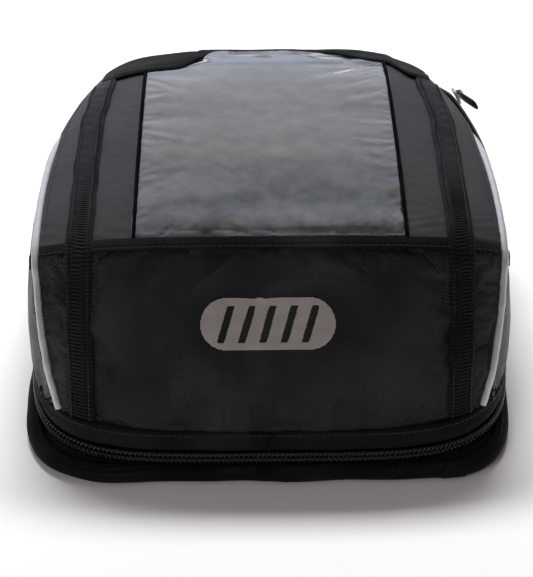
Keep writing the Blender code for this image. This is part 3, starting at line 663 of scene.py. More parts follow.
def grid_surface(a, b, points):
    """Smooth surface through a grid of points, as a function of the same even a and b values."""
    padded = np.pad(points, ((1, 1), (1, 1), (0, 0)), mode="reflect", reflect_type="odd")

    def cell(value, ticks):
        place = (value - ticks[0]) / (ticks[-1] - ticks[0]) * (len(ticks) - 1)
        index = np.clip(np.floor(place).astype(int), 0, len(ticks) - 2)
        return index, cubic_weights(place - index)

    def surface(at_a, at_b):
        at_a, at_b = np.broadcast_arrays(np.asarray(at_a, float), np.asarray(at_b, float))
        (i, weights_a), (j, weights_b) = cell(at_a, a), cell(at_b, b)
        total = 0.0
        for k in range(4):
            for m in range(4):
                total = total + padded[i + k, j + m] * (weights_a[..., k] * weights_b[..., m])[..., None]
        return total

    return surface


def cloth_run(name, points, quads, sewn, pressure, slack, frames=18):
    """Where such cloth settles when the sewn corners stay put, with slack to spare and a little pressure."""
    obj = bpy.data.objects.new(name, mesh_of(name, points, quads))
    bpy.context.scene.collection.objects.link(obj)
    group = obj.vertex_groups.new(name="sewn")
    group.add([int(i) for i in np.flatnonzero(sewn)], 1.0, "REPLACE")
    modifier = obj.modifiers.new("Cloth", "CLOTH")
    settings = modifier.settings
    settings.quality = 5
    settings.mass = 0.2
    settings.tension_stiffness = settings.compression_stiffness = 20.0
    settings.shear_stiffness = 6.0
    settings.bending_stiffness = 0.25
    settings.vertex_group_mass = group.name
    settings.shrink_min = -slack
    settings.use_pressure = True
    settings.uniform_pressure_force = pressure
    settings.effector_weights.gravity = 0.0
    modifier.collision_settings.use_collision = False
    modifier.point_cache.frame_end = frames
    scene = bpy.context.scene
    for step in range(1, frames + 1):
        scene.frame_set(step)
    settled = obj.evaluated_get(bpy.context.evaluated_depsgraph_get()).to_mesh()
    moved = np.empty(len(points) * 3, np.float32)
    settled.vertices.foreach_get("co", moved)
    scene.frame_set(1)
    bpy.data.objects.remove(obj)
    return moved.reshape(-1, 3).astype(float)


def settle(name, surface, a, b, sewn, pressure, slack, cap, ripple_size, seed):
    """The surface once its cloth has filled out and creased between the places where it is sewn down.

    sewn(grid_a, grid_b) says which places are held, slack is the share by which the cloth is cut too large,
    and cap is about how far a point may move. The result is a function of the same a and b.
    """
    grid_a, grid_b = np.meshgrid(a, b, indexing="ij")
    rest = surface(grid_a, grid_b)
    outward = normals(surface, grid_a, grid_b)
    held = np.asarray(sewn(grid_a, grid_b), bool)
    across, along = lengths_along(rest, 0), lengths_along(rest, 1)
    start = np.where(held, 0.0, 0.0004 * ripple(across, along, ripple_size, seed))
    points = rest + outward * start[..., None]
    quads = facing_out(points, grid_quads(*grid_a.shape), outward)
    settled = cloth_run(name, points.reshape(-1, 3), quads, held.ravel(), pressure, slack)
    move = settled.reshape(rest.shape) - rest
    size = np.linalg.norm(move, axis=-1, keepdims=True)
    move = move * np.tanh(size / cap) * cap / np.maximum(size, 1e-9)
    return grid_surface(a, b, rest + move)


def at_edges(grid_a, grid_b):
    """Marks the outermost rows of a grid."""
    ends_a, ends_b = grid_a[[0, -1], 0], grid_b[0, [0, -1]]
    return np.isin(grid_a, ends_a) | np.isin(grid_b, ends_b)


# ---- cloth round the base ----------------------------------------------------------------------------
def even_angles(step, inset=0.0, front_power=FRONT_ROUNDNESS, start=-90.0, end=270.0):
    """Angles along the outline, in radians, at even distances of about this step."""
    dense = np.linspace(math.radians(start), math.radians(end), 4000)
    along = lengths_along(outline(dense, inset, 0.0, front_power), 0)
    count = int(round(along[-1] / step))
    return np.interp(np.linspace(0.0, along[-1], count + 1), along, dense)


def band(profile, front_power=FRONT_ROUNDNESS):
    """Surface round the base through (inset, height) corners of a profile, from t = 0 to 1."""
    profile = np.asarray(profile, float)

    def surface(angle, t):
        inset, z = np.moveaxis(catmull_rom(profile, np.asarray(t, float)), -1, 0)
        return outline(angle, inset, z, front_power)

    return surface


def rib(along, pitch, sharpness=1.0):
    """Rounded ribs of height 0..1 at this pitch."""
    return np.abs(np.sin(along * math.pi / pitch)) ** sharpness


def ridge(value, place, width):
    """1 along a line and 0 away from it."""
    return np.exp(-((value - place) / width) ** 2)


def uneven(height, size, seed):
    """A sheet's relief of smooth noise."""
    return lambda along_a, along_b, length_a, length_b: height * ripple(along_a, along_b, size, seed)


def level_seam(name, points, body, **thread):
    """Stitches along a line, seen from above."""
    stitches(name, points, np.tile(UP, (len(points), 1)), body, **thread)


def seam_on(name, surface, a, b, lift, body, **thread):
    """Stitches along a line of a surface, this far above it."""
    a, b = (np.array(values, float) for values in np.broadcast_arrays(a, b))
    out = normals(surface, a, b)
    return stitches(name, surface(a, b) + out * lift, out, body, **thread)


def as_it_lies(points):
    """The base's rim as it lies on the table: pushed forward and waved in front, drawn in at the right."""
    x, y = points[..., 0], points[..., 1]
    in_front = smoothstep(-y, 0.105, 0.140)
    waves = 0.0007 * np.sin(x * 62.0 + 0.8) + 0.0005 * np.sin(x * 131.0)
    push = in_front * (0.0024 + waves) * smoothstep(-np.abs(x), -0.122, -0.085)
    draw = 0.0024 * smoothstep(x, 0.095, 0.125)
    return points - np.stack([draw, push, np.zeros_like(push)], axis=-1)


def build_binding():
    """Ribbed tape folded over the rim of the base, with a stitch row on top and a join in front."""
    profile = [(0.0066, 0.0072), (0.0036, 0.0079), (0.0012, 0.0074), (0.0001, 0.0052), (0.0002, 0.0030),
               (0.0014, 0.0010), (0.0040, 0.0002), (0.0064, 0.0000)]
    straight_fold = band(profile, RIM_ROUNDNESS)
    join_place = 0.083 * 4.0 * (RIM.x + RIM.y)

    def fold(angle, t):
        return as_it_lies(straight_fold(angle, t))

    def relief(along_a, along_b, length_a, length_b):
        ribs = 0.00034 * rib(along_a + 0.55 * along_b, BINDING_RIB) - 0.0004
        wobble = ripple(along_a, along_b, 0.022, 5) * 0.0004 * smoothstep(along_b, 0.002, 0.006)
        wobble = wobble * smoothstep(length_a - along_a, 0.0, 0.02) * smoothstep(along_a, 0.0, 0.02)
        under = smoothstep(along_b / length_b, 0.80, 0.62)
        join = 0.0009 * smoothstep(np.abs(along_a - join_place), 0.0070, 0.0062)
        return (ribs + wobble + join) * under - 0.00045 * ridge(along_b, 0.0022, 0.0005)

    angles = even_angles(0.2 * BINDING_RIB, 0.0, RIM_ROUNDNESS)[:-1]
    sheet("base_binding_cloth", fold, angles, np.linspace(0.0, 1.0, 22), BINDING, "base", 0.0, 0.0009, relief,
          ring=True, stands_for="base_binding")
    line = even_angles(SEAM_STEP, 0.003, RIM_ROUNDNESS)
    seam = as_it_lies(outline(line, 0.0042, 0.0080, RIM_ROUNDNESS))
    level_seam("base_binding_stitches", seam, "base", pitch=0.0031)


def disc(name, inset, z, mat, body, power, relief=0.0004, seed=3, thickness=0.0010, up=True,
         stands_for=None):
    """Flat sheet with the outline of the base, softly waved, its faces fanned about the middle."""
    angles = np.linspace(0.0, math.tau, 181)[:-1]
    shares = np.concatenate([np.linspace(0.02, 0.94, 34), np.linspace(0.95, 1.0, 8)]) * (1.0 - inset / RIM.x)
    grid_a, grid_b = np.meshgrid(angles, shares, indexing="ij")
    points = outline(grid_a, 0.0, z, power) * np.stack([grid_b, grid_b, np.ones_like(grid_b)], axis=-1)
    fade = smoothstep(1.0 - grid_b / shares[-1], 0.0, 0.1)
    points[..., 2] += relief * ripple(points[..., 0], points[..., 1], 0.03, seed) * fade
    quads = grid_quads(*grid_a.shape, ring=True)
    centre = (0.0, 0.0, points[:, 0, 2].mean())
    flat_points = np.vstack([points.reshape(-1, 3), centre])
    columns, corners = len(shares), grid_a.size
    first = np.arange(0, len(angles), 2) * columns
    fan = np.stack([np.full(len(first), corners), first, (first + columns) % corners,
                    (first + 2 * columns) % corners], axis=-1)
    if (face_normal(flat_points, quads[0])[2] > 0) != up:
        quads = quads[:, ::-1]
    quads = np.vstack([quads, fan if up else fan[:, ::-1]])
    obj = new_object(name, mesh_of(name, flat_points, quads, flat_points[:, :2]), mat, body)
    thicken(obj, thickness)
    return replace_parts(obj, stands_for)


def build_base_sheets():
    """Inside floor of the base, and the rubber mat under it with its grip dots."""
    disc("base_floor_cloth", 0.0050, 0.0076, HEM, "base", RIM_ROUNDNESS,
         stands_for="base_floor")
    disc("base_mat", 0.0032, 0.0004, RUBBER, "base", RIM_ROUNDNESS, relief=0.0, up=False,
         stands_for="base_underside")
    dot, pitch = 0.0032, 0.0065
    rows, columns = np.arange(-0.138, 0.139, pitch), np.arange(-0.120, 0.116, pitch)
    shifts = (0.5 * pitch * (k % 2) for k in range(len(rows)))
    centres = np.array([(x + shift, y, 0.0004) for shift, y in zip(shifts, rows) for x in columns])
    edge = np.abs(centres[:, 0] / 0.119) ** RIM_ROUNDNESS + np.abs(centres[:, 1] / 0.140) ** RIM_ROUNDNESS
    centres = centres[edge < 1.0]
    template, faces = bead_template(dot, dot, 0.0012, sides=8, rings=4)
    downward = np.broadcast_to(np.array([(0.0, 0.0, -1.0), (0.0, 1.0, 0.0), (1.0, 0.0, 0.0)]),
                               (len(centres), 3, 3))
    flattened = template * np.array([0.25, 1.0, 2.6])
    scatter("base_grip_dots", flattened, faces, (centres, downward), RUBBER, "base")
    seam = outline(even_angles(SEAM_STEP, 0.008, RIM_ROUNDNESS), 0.0088, 0.0078, RIM_ROUNDNESS)
    level_seam("base_floor_stitches", seam, "base")


# ---- zip coils ---------------------------------------------------------------------------------------
def unit(vectors):
    return vectors / np.linalg.norm(vectors, axis=1, keepdims=True)


def squared(wave, power=0.75):
    """A sine with its crests broadened."""
    return np.sign(wave) * np.abs(wave) ** power


def coil(name, line, outward, side, body, phase, stands_for):
    """Half of a coil zip: nylon filament wound into flat loops, whose crowns lean towards the other half.

    side points along the tape from the coil's seam to its crowns. phase shifts the loops, in turns.
    """
    points, carried, along = resample(line, np.hstack([outward, side]), COIL_PITCH / 12.0)
    out, crown = carried[:, :3], carried[:, 3:]
    tangent = unit(np.gradient(points, axis=0))
    crown = unit(crown - tangent * np.sum(crown * tangent, axis=1, keepdims=True))
    upright = np.cross(tangent, crown)
    out = upright * np.sign(np.sum(upright * out, axis=1, keepdims=True))
    turn = (along / COIL_PITCH + phase) * math.tau
    lift, reach = squared(np.cos(turn)), squared(np.sin(turn))
    path = points + out * ((0.5 * COIL_DEPTH - COIL_WIRE) * lift)[:, None]
    path = path + crown * ((0.5 * COIL_HEIGHT - COIL_WIRE) * reach)[:, None]
    path = path + tangent * (0.12 * COIL_PITCH * reach)[:, None]
    mesh = tube_mesh(name, path, COIL_WIRE, sides=6, outward=out + crown * 0.01)
    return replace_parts(new_object(name, mesh, NYLON, body), stands_for)


def coil_cord(name, line, outward, body):
    """Cord and sewing that run through the loops of a coil."""
    mesh = tube_mesh(name, line, 0.00062, sides=8, outward=outward)
    return new_object(name, mesh, THREAD, body)


def tape_wave(along_a, along_b, length_a, length_b):
    """A zip tape's relief: fine cross ribs and a slight wave."""
    return 0.00008 * rib(along_a, 0.0012) + 0.00012 * ripple(along_a, along_b, 0.015, 8)


def build_base_zip():
    """Two coils one above the other round the front and sides, each on its own tape."""
    ends = {"start": 14.0, "end": -194.0}
    angles = even_angles(SEAM_STEP, CHAIN_INSET, **ends)
    upward = np.tile(UP, (len(angles), 1))
    waves = even_angles(0.0008, CHAIN_INSET, **ends)
    tape = CHAIN_INSET + 0.0014
    lower_tape = [(tape + 0.0012, 0.0084), (tape + 0.0004, 0.0100), (tape, 0.0116), (tape - 0.0001, 0.0128)]
    upper_tape = [(tape - 0.0001, 0.0132), (tape, 0.0155), (tape, 0.0180), (tape + 0.0002, 0.0205)]
    for label, body, drop, side, phase, profile, rows in (
            ("lower", "base", -0.0018, upward, 0.0, lower_tape, 6),
            ("upper", "bag", 0.0014, -upward, 0.5, upper_tape, 7)):
        z = CHAIN[0].z + drop
        outward = normals(lambda a, h: outline(a, CHAIN_INSET, h), angles, np.full(len(angles), z))
        coil(f"base_zip_{label}_loops", outline(angles, CHAIN_INSET - 0.0004, z), outward, side, body, phase,
             f"base_zip_{label}_coil")
        coil_cord(f"base_zip_{label}_cord", outline(angles, CHAIN_INSET + 0.0003, z), outward, body)
        sheet(f"base_zip_{label}_tape_cloth", band(profile), waves, np.linspace(0.0, 1.0, rows), TAPE_CLOTH,
              body, 0.0, 0.0007, tape_wave, stands_for=f"base_zip_{label}_tape")


def bake(obj):
    """Replaces a piece's mesh by its shape with the modifiers applied."""
    mesh = bpy.data.meshes.new_from_object(obj.evaluated_get(bpy.context.evaluated_depsgraph_get()))
    obj.modifiers.clear()
    obj.data = mesh


def build_hinge_web():
    """Strip of cloth behind, between the two ends of the base zip, that joins bag and base."""
    inset = CHAIN_INSET + 0.0014
    web = band([(inset + 0.0010, 0.0080), (inset + 0.0004, 0.0105), (inset, 0.0135), (inset + 0.0001, 0.0165),
                (inset + 0.0004, 0.0195)])
    piece = sheet("rear_hinge_web_cloth", web, even_angles(0.0016, inset, start=16.0, end=164.0),
                  np.linspace(0.0, 1.0, 14), CANVAS, None, 0.0, 0.0010, uneven(0.0002, 0.02, 12),
                  stands_for="rear_hinge_web")
    bake(piece)
    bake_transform(piece)


def build_hem():
    """Padded band between the panels and the base zip, with the seam that joins it to the panels."""
    low, high = HEM_LOW - 0.0004, HEM_HIGH - 0.0002
    profile = [(HEM_INSET + 0.0012, low), (HEM_INSET - 0.0008, low + 0.0004),
               (HEM_INSET - 0.0020, low + 0.0026), (HEM_INSET - 0.0023, low + 0.0052),
               (HEM_INSET - 0.0014, low + 0.0078), (HEM_INSET - 0.0002, high),
               (HEM_INSET + 0.0036, high + 0.0009)]

    def relief(along_a, along_b, length_a, length_b):
        pucker = 0.00016 * np.sin(along_a * math.tau / 0.0031) * smoothstep(along_b / length_b, 0.72, 0.9)
        return 0.0003 * ripple(along_a, 2.0 * along_b, 0.024, 15) + pucker

    sheet("hem_band_cloth", band(profile), even_angles(0.0011, HEM_INSET)[:-1], np.linspace(0.0, 1.0, 20),
          HEM, "bag", 0.0, 0.0011, relief, ring=True, stands_for="hem_band")
    line = even_angles(SEAM_STEP, HEM_INSET)
    outward = normals(lambda a, h: outline(a, HEM_INSET, h), line, np.full(len(line), high))
    seam = outline(line, HEM_INSET - 0.0011, high - 0.0013)
    stitches("hem_band_stitches", seam, outward + np.array((0.0, 0.0, 0.6)), "bag", pitch=0.0029)


def build_bag_floor():
    disc("bag_floor_cloth", HEM_INSET + 0.0012, 0.0224, LINING, "bag", FRONT_ROUNDNESS, seed=21,
         stands_for="bag_floor")
    seam = outline(even_angles(SEAM_STEP, 0.019), HEM_INSET + 0.0125, 0.0228)
    level_seam("bag_floor_stitches", seam, "bag")
    disc("floor_stiffener_cloth", HEM_INSET + 0.0155, 0.0242, LINING, "bag", FRONT_ROUNDNESS, seed=22,
         thickness=0.0012, stands_for="floor_stiffener")


# ---- front panel -------------------------------------------------------------------------------------
def across_shoulder(obj):
    """Bakes a piece that runs over the shoulder: applies its modifiers and moves its place into its points.
    """
    bake(obj)
    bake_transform(obj)


def strap_centre(s):
    return STRAP_CENTRE - STRAP_DRIFT * smoothstep(s, 1.5, 1.87)


def settled_front():
    """Front panel's cloth, held at its edges, under the straps and along the hem strip."""
    def sewn(u, s):
        under_strap = np.abs(np.abs(u) * half_width(s) - STRAP_CENTRE) < STRAP_HOLD
        return at_edges(u, s) | under_strap | (s > 0.955)

    return settle("front_cloth", shroud, np.linspace(-0.985, 0.985, 111), np.linspace(0.0, 1.0, 44), sewn,
                  pressure=2.2, slack=0.024, cap=0.0036, ripple_size=0.034, seed=4)


def build_front_panel(front):
    sheet("front_panel_cloth", front, np.linspace(-0.982, 0.982, 300), np.linspace(0.0, 0.994, 130), CANVAS,
          "bag", PANEL_FACE, 0.0014, uneven(0.00006, 0.006, 31),
          stands_for="front_panel")
    sheet("front_lining", shroud, np.linspace(-0.93, 0.93, 120), np.linspace(0.03, 0.93, 50), LINING, "bag",
          -0.0020, 0.0036, stands_for="front_foam")


def build_hem_strip():
    """Narrow ribbed tape sewn along the top of the front panel, with a stitch row near its lower edge."""
    inner_end = STRAP_CENTRE - 0.5 * STRAP_WIDTH + 0.0005
    outer_start, outer_end = STRAP_CENTRE + 0.5 * STRAP_WIDTH - 0.001, half_width(0.96) * 0.975

    def relief(along_a, along_b, length_a, length_b):
        groove = 0.00035 * ridge(along_b, 0.0016, 0.0005)
        pucker = 0.00012 * np.sin(along_a * math.tau / 0.0031) * ridge(along_b, 0.0016, 0.0015)
        return 0.00016 * rib(along_a, HEM_RIB) - groove + pucker + 0.0002 * ripple(along_a, along_b, 0.02, 41)

    def side_relief(along_a, along_b, length_a, length_b):
        return 0.00012 * rib(along_a, HEM_RIB) + 0.0002 * ripple(along_a, along_b, 0.01, 43)

    sheet("front_hem_tape", shroud_at, np.arange(-inner_end, inner_end, 0.00035),
          np.linspace(0.946, 0.999, 14), HEM, "bag", 0.0028, 0.0010, relief,
          stands_for="front_hem_strip")
    seam_on("front_hem_stitches", shroud_at, np.arange(-inner_end, inner_end, SEAM_STEP), 0.958, 0.0029,
            "bag", pitch=0.0031, slant=0.15)
    for side, label in SIDES:
        outer = np.linspace(outer_start, outer_end, 40) * side
        sheet(f"front_hem_tape_{label}", shroud_at, outer, np.linspace(0.950, 0.999, 10), HEM, "bag", 0.0024,
              0.0007, side_relief)
        seam_on(f"front_hem_stitches_{label}", shroud_at, np.linspace(outer[0], outer[-1], 12), 0.960, 0.0025,
                "bag")


def build_mark(front):
    """Plain reflective badge in place of a printed name: a rounded bar cut by slanted slots."""
    width, height, slot_pitch, cell = 0.067, 0.026, 0.0105, 0.0005
    low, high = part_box("reflective_mark")
    centre_x, centre_s = 0.5 * (low.x + high.x), 0.56
    metres_per_s = float(np.linalg.norm(shroud(0.0, 0.6) - shroud(0.0, 0.5))) / 0.1
    xs, ys = (np.arange(-0.5 * size, 0.5 * size + cell, cell) for size in (width, height))
    grid_x, grid_y = np.meshgrid(xs, ys, indexing="ij")

    def inside(x, y):
        past = np.maximum(np.abs(x) - 0.5 * (width - height), 0.0)
        bar = np.hypot(past, y) < 0.5 * height
        slanted = (x - 0.30 * y) / slot_pitch
        in_slot = np.abs(slanted - np.round(slanted)) < 0.16
        return bar & ~(in_slot & (np.abs(y) < 0.5 * height - 0.0042) & (np.abs(x) < 0.5 * width - 0.0085))

    middle_x, middle_y = (0.5 * (grid[:-1, :-1] + grid[1:, 1:]) for grid in (grid_x, grid_y))
    quads = grid_quads(*grid_x.shape)[inside(middle_x, middle_y).ravel()]
    s = centre_s + grid_y / metres_per_s
    u = (centre_x + grid_x) / half_width(s)
    points = front(u, s) + normals(front, u, s) * (PANEL_FACE + 0.00025)
    used, compact = np.unique(quads, return_inverse=True)
    uvs = np.stack([grid_x.ravel(), grid_y.ravel()], axis=-1)[used]
    mesh = mesh_of("reflective_badge", points.reshape(-1, 3)[used], compact.reshape(-1, 4), uvs)
    badge = new_object("reflective_badge", mesh, MARK, "bag")
    smooth = badge.modifiers.new("Round", "SMOOTH")
    smooth.factor, smooth.iterations = 0.5, 4
    thicken(badge, 0.00012, 1.0)
    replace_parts(badge, "reflective_mark")


def build_straps():
    """Webbing tape from hem over shoulder to rear: ladder ribs, beaded edges, a stitch row at each edge."""
    half, groove_at, bead_at = 0.5 * STRAP_WIDTH, 0.0040, 0.0052
    for side, label in SIDES:
        def tape(s, offset, side=side):
            return shroud_at(side * (strap_centre(s) + offset), s)

        dense = np.linspace(0.004, STRAP_REAR, 900)
        along = lengths_along(tape(dense, np.zeros(900)), 0)
        count = int(along[-1] / (RIB_PITCH / 6.0))
        s_values = np.interp(np.linspace(0.0, along[-1], count), along, dense)
        shoulder_at = float(np.interp(1.0, dense, along))

        def relief(along_a, along_b, length_a, length_b):
            offset = np.abs(along_b - 0.5 * length_b)
            ladder = smoothstep(along_a, shoulder_at + 0.060, shoulder_at + 0.020) * 0.85 + 0.15
            ribs = 0.00065 * rib(along_a, RIB_PITCH, 0.9) * smoothstep(offset, groove_at, 0.0030) * ladder
            beads = 0.00060 * rib(along_a + 0.0006, 0.0014, 0.8) * ridge(offset, bead_at, 0.0009)
            groove = 0.00035 * ridge(offset, groove_at, 0.00035)
            rolled = -0.0008 * smoothstep(offset, 0.0058, half)
            wander = 0.0003 * ripple(along_a, 0.3 * along_b, 0.02,
                                     51) + 0.00012 * ripple(along_a, along_b, 0.004, 52)
            return ribs + beads - groove + rolled + wander

        wander = 0.00035 * ripple(lengths_along(tape(s_values, 0 * s_values), 0), 0.0, 0.012, 53 + side)
        offsets = np.linspace(-half, half, 30)[None, :] + wander[:, None]
        piece = sheet(f"strap_tape_{label}", tape, s_values, offsets, WEBBING, None, 0.0032, 0.0011, relief)
        across_shoulder(piece)
        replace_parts(piece, f"front_strap_{label}", f"lid_strap_{label}")
        for edge, edge_label in ((-0.0045, "inner"), (0.0045, "outer")):
            row = seam_on(f"strap_stitches_{label}_{edge_label}", tape,
                          np.linspace(0.012, STRAP_REAR - 0.01, 400), edge, 0.00335, None, pitch=0.0026,
                          length=0.0019, width=0.0006)
            across_shoulder(row)


def piping_line(side, s):
    """Centre of the cord, which goes under the lid's edge towards the rear."""
    out = normals(shroud, np.full(len(s), side * 0.995), s)
    tuck = smoothstep(s, 1.42, 1.62)[:, None] * np.array((-0.0012 * side, 0.0, -0.0022))
    return shroud(np.full(len(s), float(side)), s) + out * 0.0006 + tuck, out


def build_piping():
    """Silver reflective cord up one side of the front, round the lid and down the other side."""
    down = np.linspace(0.004, 1.985, 420)
    right, right_out = piping_line(1, down)
    left, left_out = piping_line(-1, down[::-1])
    us = np.linspace(0.985, -0.985, 200)
    rear_out = normals(shroud, us, np.full(200, 1.99))
    rear = shroud(us, np.full(200, 2.0)) + rear_out * 0.0006 - np.array((0.0, 0.0012, 0.0022))
    line, out = np.vstack([right, rear, left]), np.vstack([right_out, rear_out, left_out])
    line, out, along = resample(line, out, 0.0008)
    radius = 0.00215 + 0.00012 * ripple(along, 0.0, 0.006, 61) + 0.00007 * ripple(along, 0.0, 0.0025, 62)
    cord = new_object("piping_cord", tube_mesh("piping_cord", line, radius, sides=14, outward=out), SILVER,
                      None)
    across_shoulder(cord)
    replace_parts(cord, "front_piping_left", "front_piping_right", "lid_piping")


def build_shoulder_web():
    """Strip of lining cloth under the shoulder seam, on which the lid turns."""
    piece = sheet("shoulder_web", shroud, np.linspace(-0.93, 0.93, 160), np.linspace(0.955, 1.045, 16),
                  LINING, None, -0.0006, 0.0008, uneven(0.0001, 0.01, 65))
    across_shoulder(piece)


# ---- side and rear walls -----------------------------------------------------------------------------
def wall_share(q, share):
    """The wall from the panel's upper edge (share 0) to the hem (share 1).

    The upper edge is under the piping in front of the shoulder, and below the main zip behind it.
    """
    below_zip = CHAIN_DROP + 0.0036
    top = 0.0022 + (below_zip - 0.0022) * smoothstep(-np.abs(q), -0.745, -0.705)
    return wall(q, top + (wall_height(q) - 0.0002 - top) * share)


def inner_wall(q, share):
    """The wall from below the main zip to the bag's floor, for the lining."""
    top = CHAIN_DROP + 0.0085
    return wall(q, top + (wall_height(q) - 0.002 - top) * share)


def build_wall(name, label, cloth_ends, panel_ends, seam_ends, lining_ends, seeds):
    """One side or rear panel, filled out by its foam, with a stitch row at the top and at the foot."""
    cloth_seed, grain_seed = seeds
    skin = settle(f"{name}_cloth{label}", wall_share, np.linspace(*cloth_ends, 101),
                  np.linspace(0.0, 1.0, 32), at_edges, pressure=2.4, slack=0.009, cap=0.0034,
                  ripple_size=0.03, seed=cloth_seed)
    sheet(f"{name}_panel_cloth{label}", skin, np.linspace(*panel_ends, 220), np.linspace(0.0, 1.0, 72),
          CANVAS, "bag", PANEL_FACE, 0.0014, uneven(0.00006, 0.006, grain_seed),
          stands_for=f"{name}_panel{label}")
    sheet(f"{name}_lining{label}", inner_wall, np.linspace(*lining_ends, 90), np.linspace(0.0, 1.0, 50),
          LINING, "bag", -0.0020, 0.0036, stands_for=f"{name}_foam{label}")
    for share, row in ((0.965, "low"), (0.05, "high")):
        seam_on(f"{name}_stitches{label}_{row}", skin, np.linspace(*seam_ends, 160), share, 0.00155, "bag")


def build_walls():
    corner = REAR_CORNER
    for side, label in SIDES:
        ends = [(side * (corner + start), side * end)
                for start, end in ((-0.001, 0.988), (0.0, 0.987), (0.004, 0.955), (0.03, 0.80))]
        build_wall("side", f"_{label}", *ends, (70 + side, 72))
    ends = [(share - corner, corner - share) for share in (0.001, 0.0015 * corner, 0.005, 0.03)]
    build_wall("rear", "", *ends, (75, 76))


def build_main_zip():
    """Two coils on their tapes round the sides and rear, and the cloth tabs that close their ends."""
    qs = np.linspace(ZIP_END, -ZIP_END, 900)
    lower_drops, upper_drops = (CHAIN_DROP + 0.0002, CHAIN_DROP + 0.0078), (0.0020, CHAIN_DROP - 0.0002)
    for label, lean, body, phase, drops in (("lower", -1.0, "bag", 0.0, lower_drops),
                                            ("upper", 1.0, "lid", 0.5, upper_drops)):
        drop = np.full(len(qs), CHAIN_DROP - 0.0014 * lean)
        line, out = wall(qs, drop), normals(wall, qs, drop)
        side = unit(wall(qs, drop + 0.001) - line) * lean
        coil(f"main_zip_{label}_loops", line + out * 0.0010, out, side, body, phase, f"main_zip_{label}_coil")
        coil_cord(f"main_zip_{label}_cord", line + out * 0.0007, out, body)
        sheet(f"main_zip_{label}_tape_cloth", wall, np.linspace(ZIP_END, -ZIP_END, 700),
              np.linspace(*drops, 9), TAPE_CLOTH, body, -0.0012, 0.0007, tape_wave,
              stands_for=f"main_zip_{label}_tape")

    def tab_relief(along_a, along_b, length_a, length_b):
        return 0.00012 * rib(along_b, 0.0010) + 0.0003 * ripple(along_a, along_b, 0.01, 81)

    for side, label in SIDES:
        sheet(f"zip_end_cloth_{label}", wall, side * np.linspace(0.704, 0.724, 30),
              np.linspace(0.0046, 0.0188, 24), TAPE_CLOTH, "bag", 0.0026, 0.0009, tab_relief,
              stands_for=f"zip_end_tab_{label}")
        for q in (0.7065, 0.7215):
            seam_on(f"zip_end_stitches_{label}_{round(q * 1e4)}", wall, side * q,
                    np.linspace(0.0055, 0.0180, 10), 0.0027, "bag")


# ---- lid ---------------------------------------------------------------------------------------------
def build_leather():
    """Leather either side of the window, softly filled, from the window's edge out to the piping."""
    for side, label in SIDES:
        def flat(s, t, side=side):
            inner = WINDOW_HALF_WIDTH + 0.0005
            outer = half_width(s) * (0.982 + 0.020 * smoothstep(s, 1.42, 1.62))
            return shroud_at(side * (inner + (outer - inner) * t), s)

        def sewn(s, t):
            x = WINDOW_HALF_WIDTH + (0.982 * half_width(s) - WINDOW_HALF_WIDTH) * t
            return at_edges(s, t) | (np.abs(x - strap_centre(s)) < STRAP_HOLD)

        def creases(along_a, along_b, length_a, length_b):
            fine = 0.00022 * ripple(along_a, 0.5 * along_b, 0.0035,
                                    92 + side) * smoothstep(along_a, 0.030, 0.004)
            return fine + 0.00006 * ripple(along_a, along_b, 0.004, 94)

        skin = settle(f"leather_{label}", flat, np.linspace(1.0, 1.985, 84), np.linspace(0.0, 1.0, 24), sewn,
                      pressure=1.0, slack=0.0, cap=0.0010, ripple_size=0.050, seed=90 + side)
        sheet(f"leather_panel_{label}", skin, np.linspace(1.0, 1.978, 420), np.linspace(0.0, 1.0, 90),
              LEATHER, "lid", PANEL_FACE, 0.0011, creases,
              stands_for=f"lid_leather_{label}")
        seam_on(f"leather_stitches_{label}", skin, np.linspace(1.01, 1.97, 300), 0.955, 0.0015, "lid",
                pitch=0.0029)


def window_rear(x):
    """Rear edge of the film, which is cut back at its corners, more on the left."""
    left, right = smoothstep(-x, 0.030, 0.052), smoothstep(x, 0.038, 0.062)
    return WINDOW_REAR - LEFT_FLARE * left - RIGHT_FLARE * right


def build_film():
    """The film as it lies over the map pocket: tight at its seams, with long soft waves towards the front."""
    def flat(t, u):
        x = u * (WINDOW_HALF_WIDTH + 0.0012)
        return shroud_at(x, 1.0 + (window_rear(x) - 1.0) * t)

    def sewn(t, u):
        return (t == 0.0) | (np.abs(u) == 1.0)

    def waves(along_a, along_b, length_a, length_b):
        fade = np.minimum(smoothstep(along_b, 0.0, 0.01), smoothstep(length_b - along_b, 0.0, 0.01))
        fade = fade * smoothstep(along_a, 0.0, 0.006)
        front = smoothstep(along_a, 0.060, 0.010)
        long_waves = 0.0010 * ripple(along_a, 0.35 * along_b, 0.017, 102) * (0.25 + front)
        lip = 0.0004 * ripple(along_b, 0.0, 0.018, 103) * smoothstep(length_a - along_a, 0.012, 0.0)
        return (long_waves + 0.0005 * ripple(along_a, along_b, 0.04, 104) + lip) * fade

    settled = settle("film", flat, np.linspace(0.0, 1.0, 72), np.linspace(-1.0, 1.0, 64), sewn, pressure=1.6,
                     slack=0.003, cap=0.0024, ripple_size=0.050, seed=101)
    sheet("window_film_sheet", settled, np.linspace(0.002, 1.0, 240), np.linspace(-0.998, 0.998, 190), FILM,
          "lid", 0.0024, 0.0, waves, stands_for="window_film")


def on_lid(s, x):
    return shroud_at(x, s)


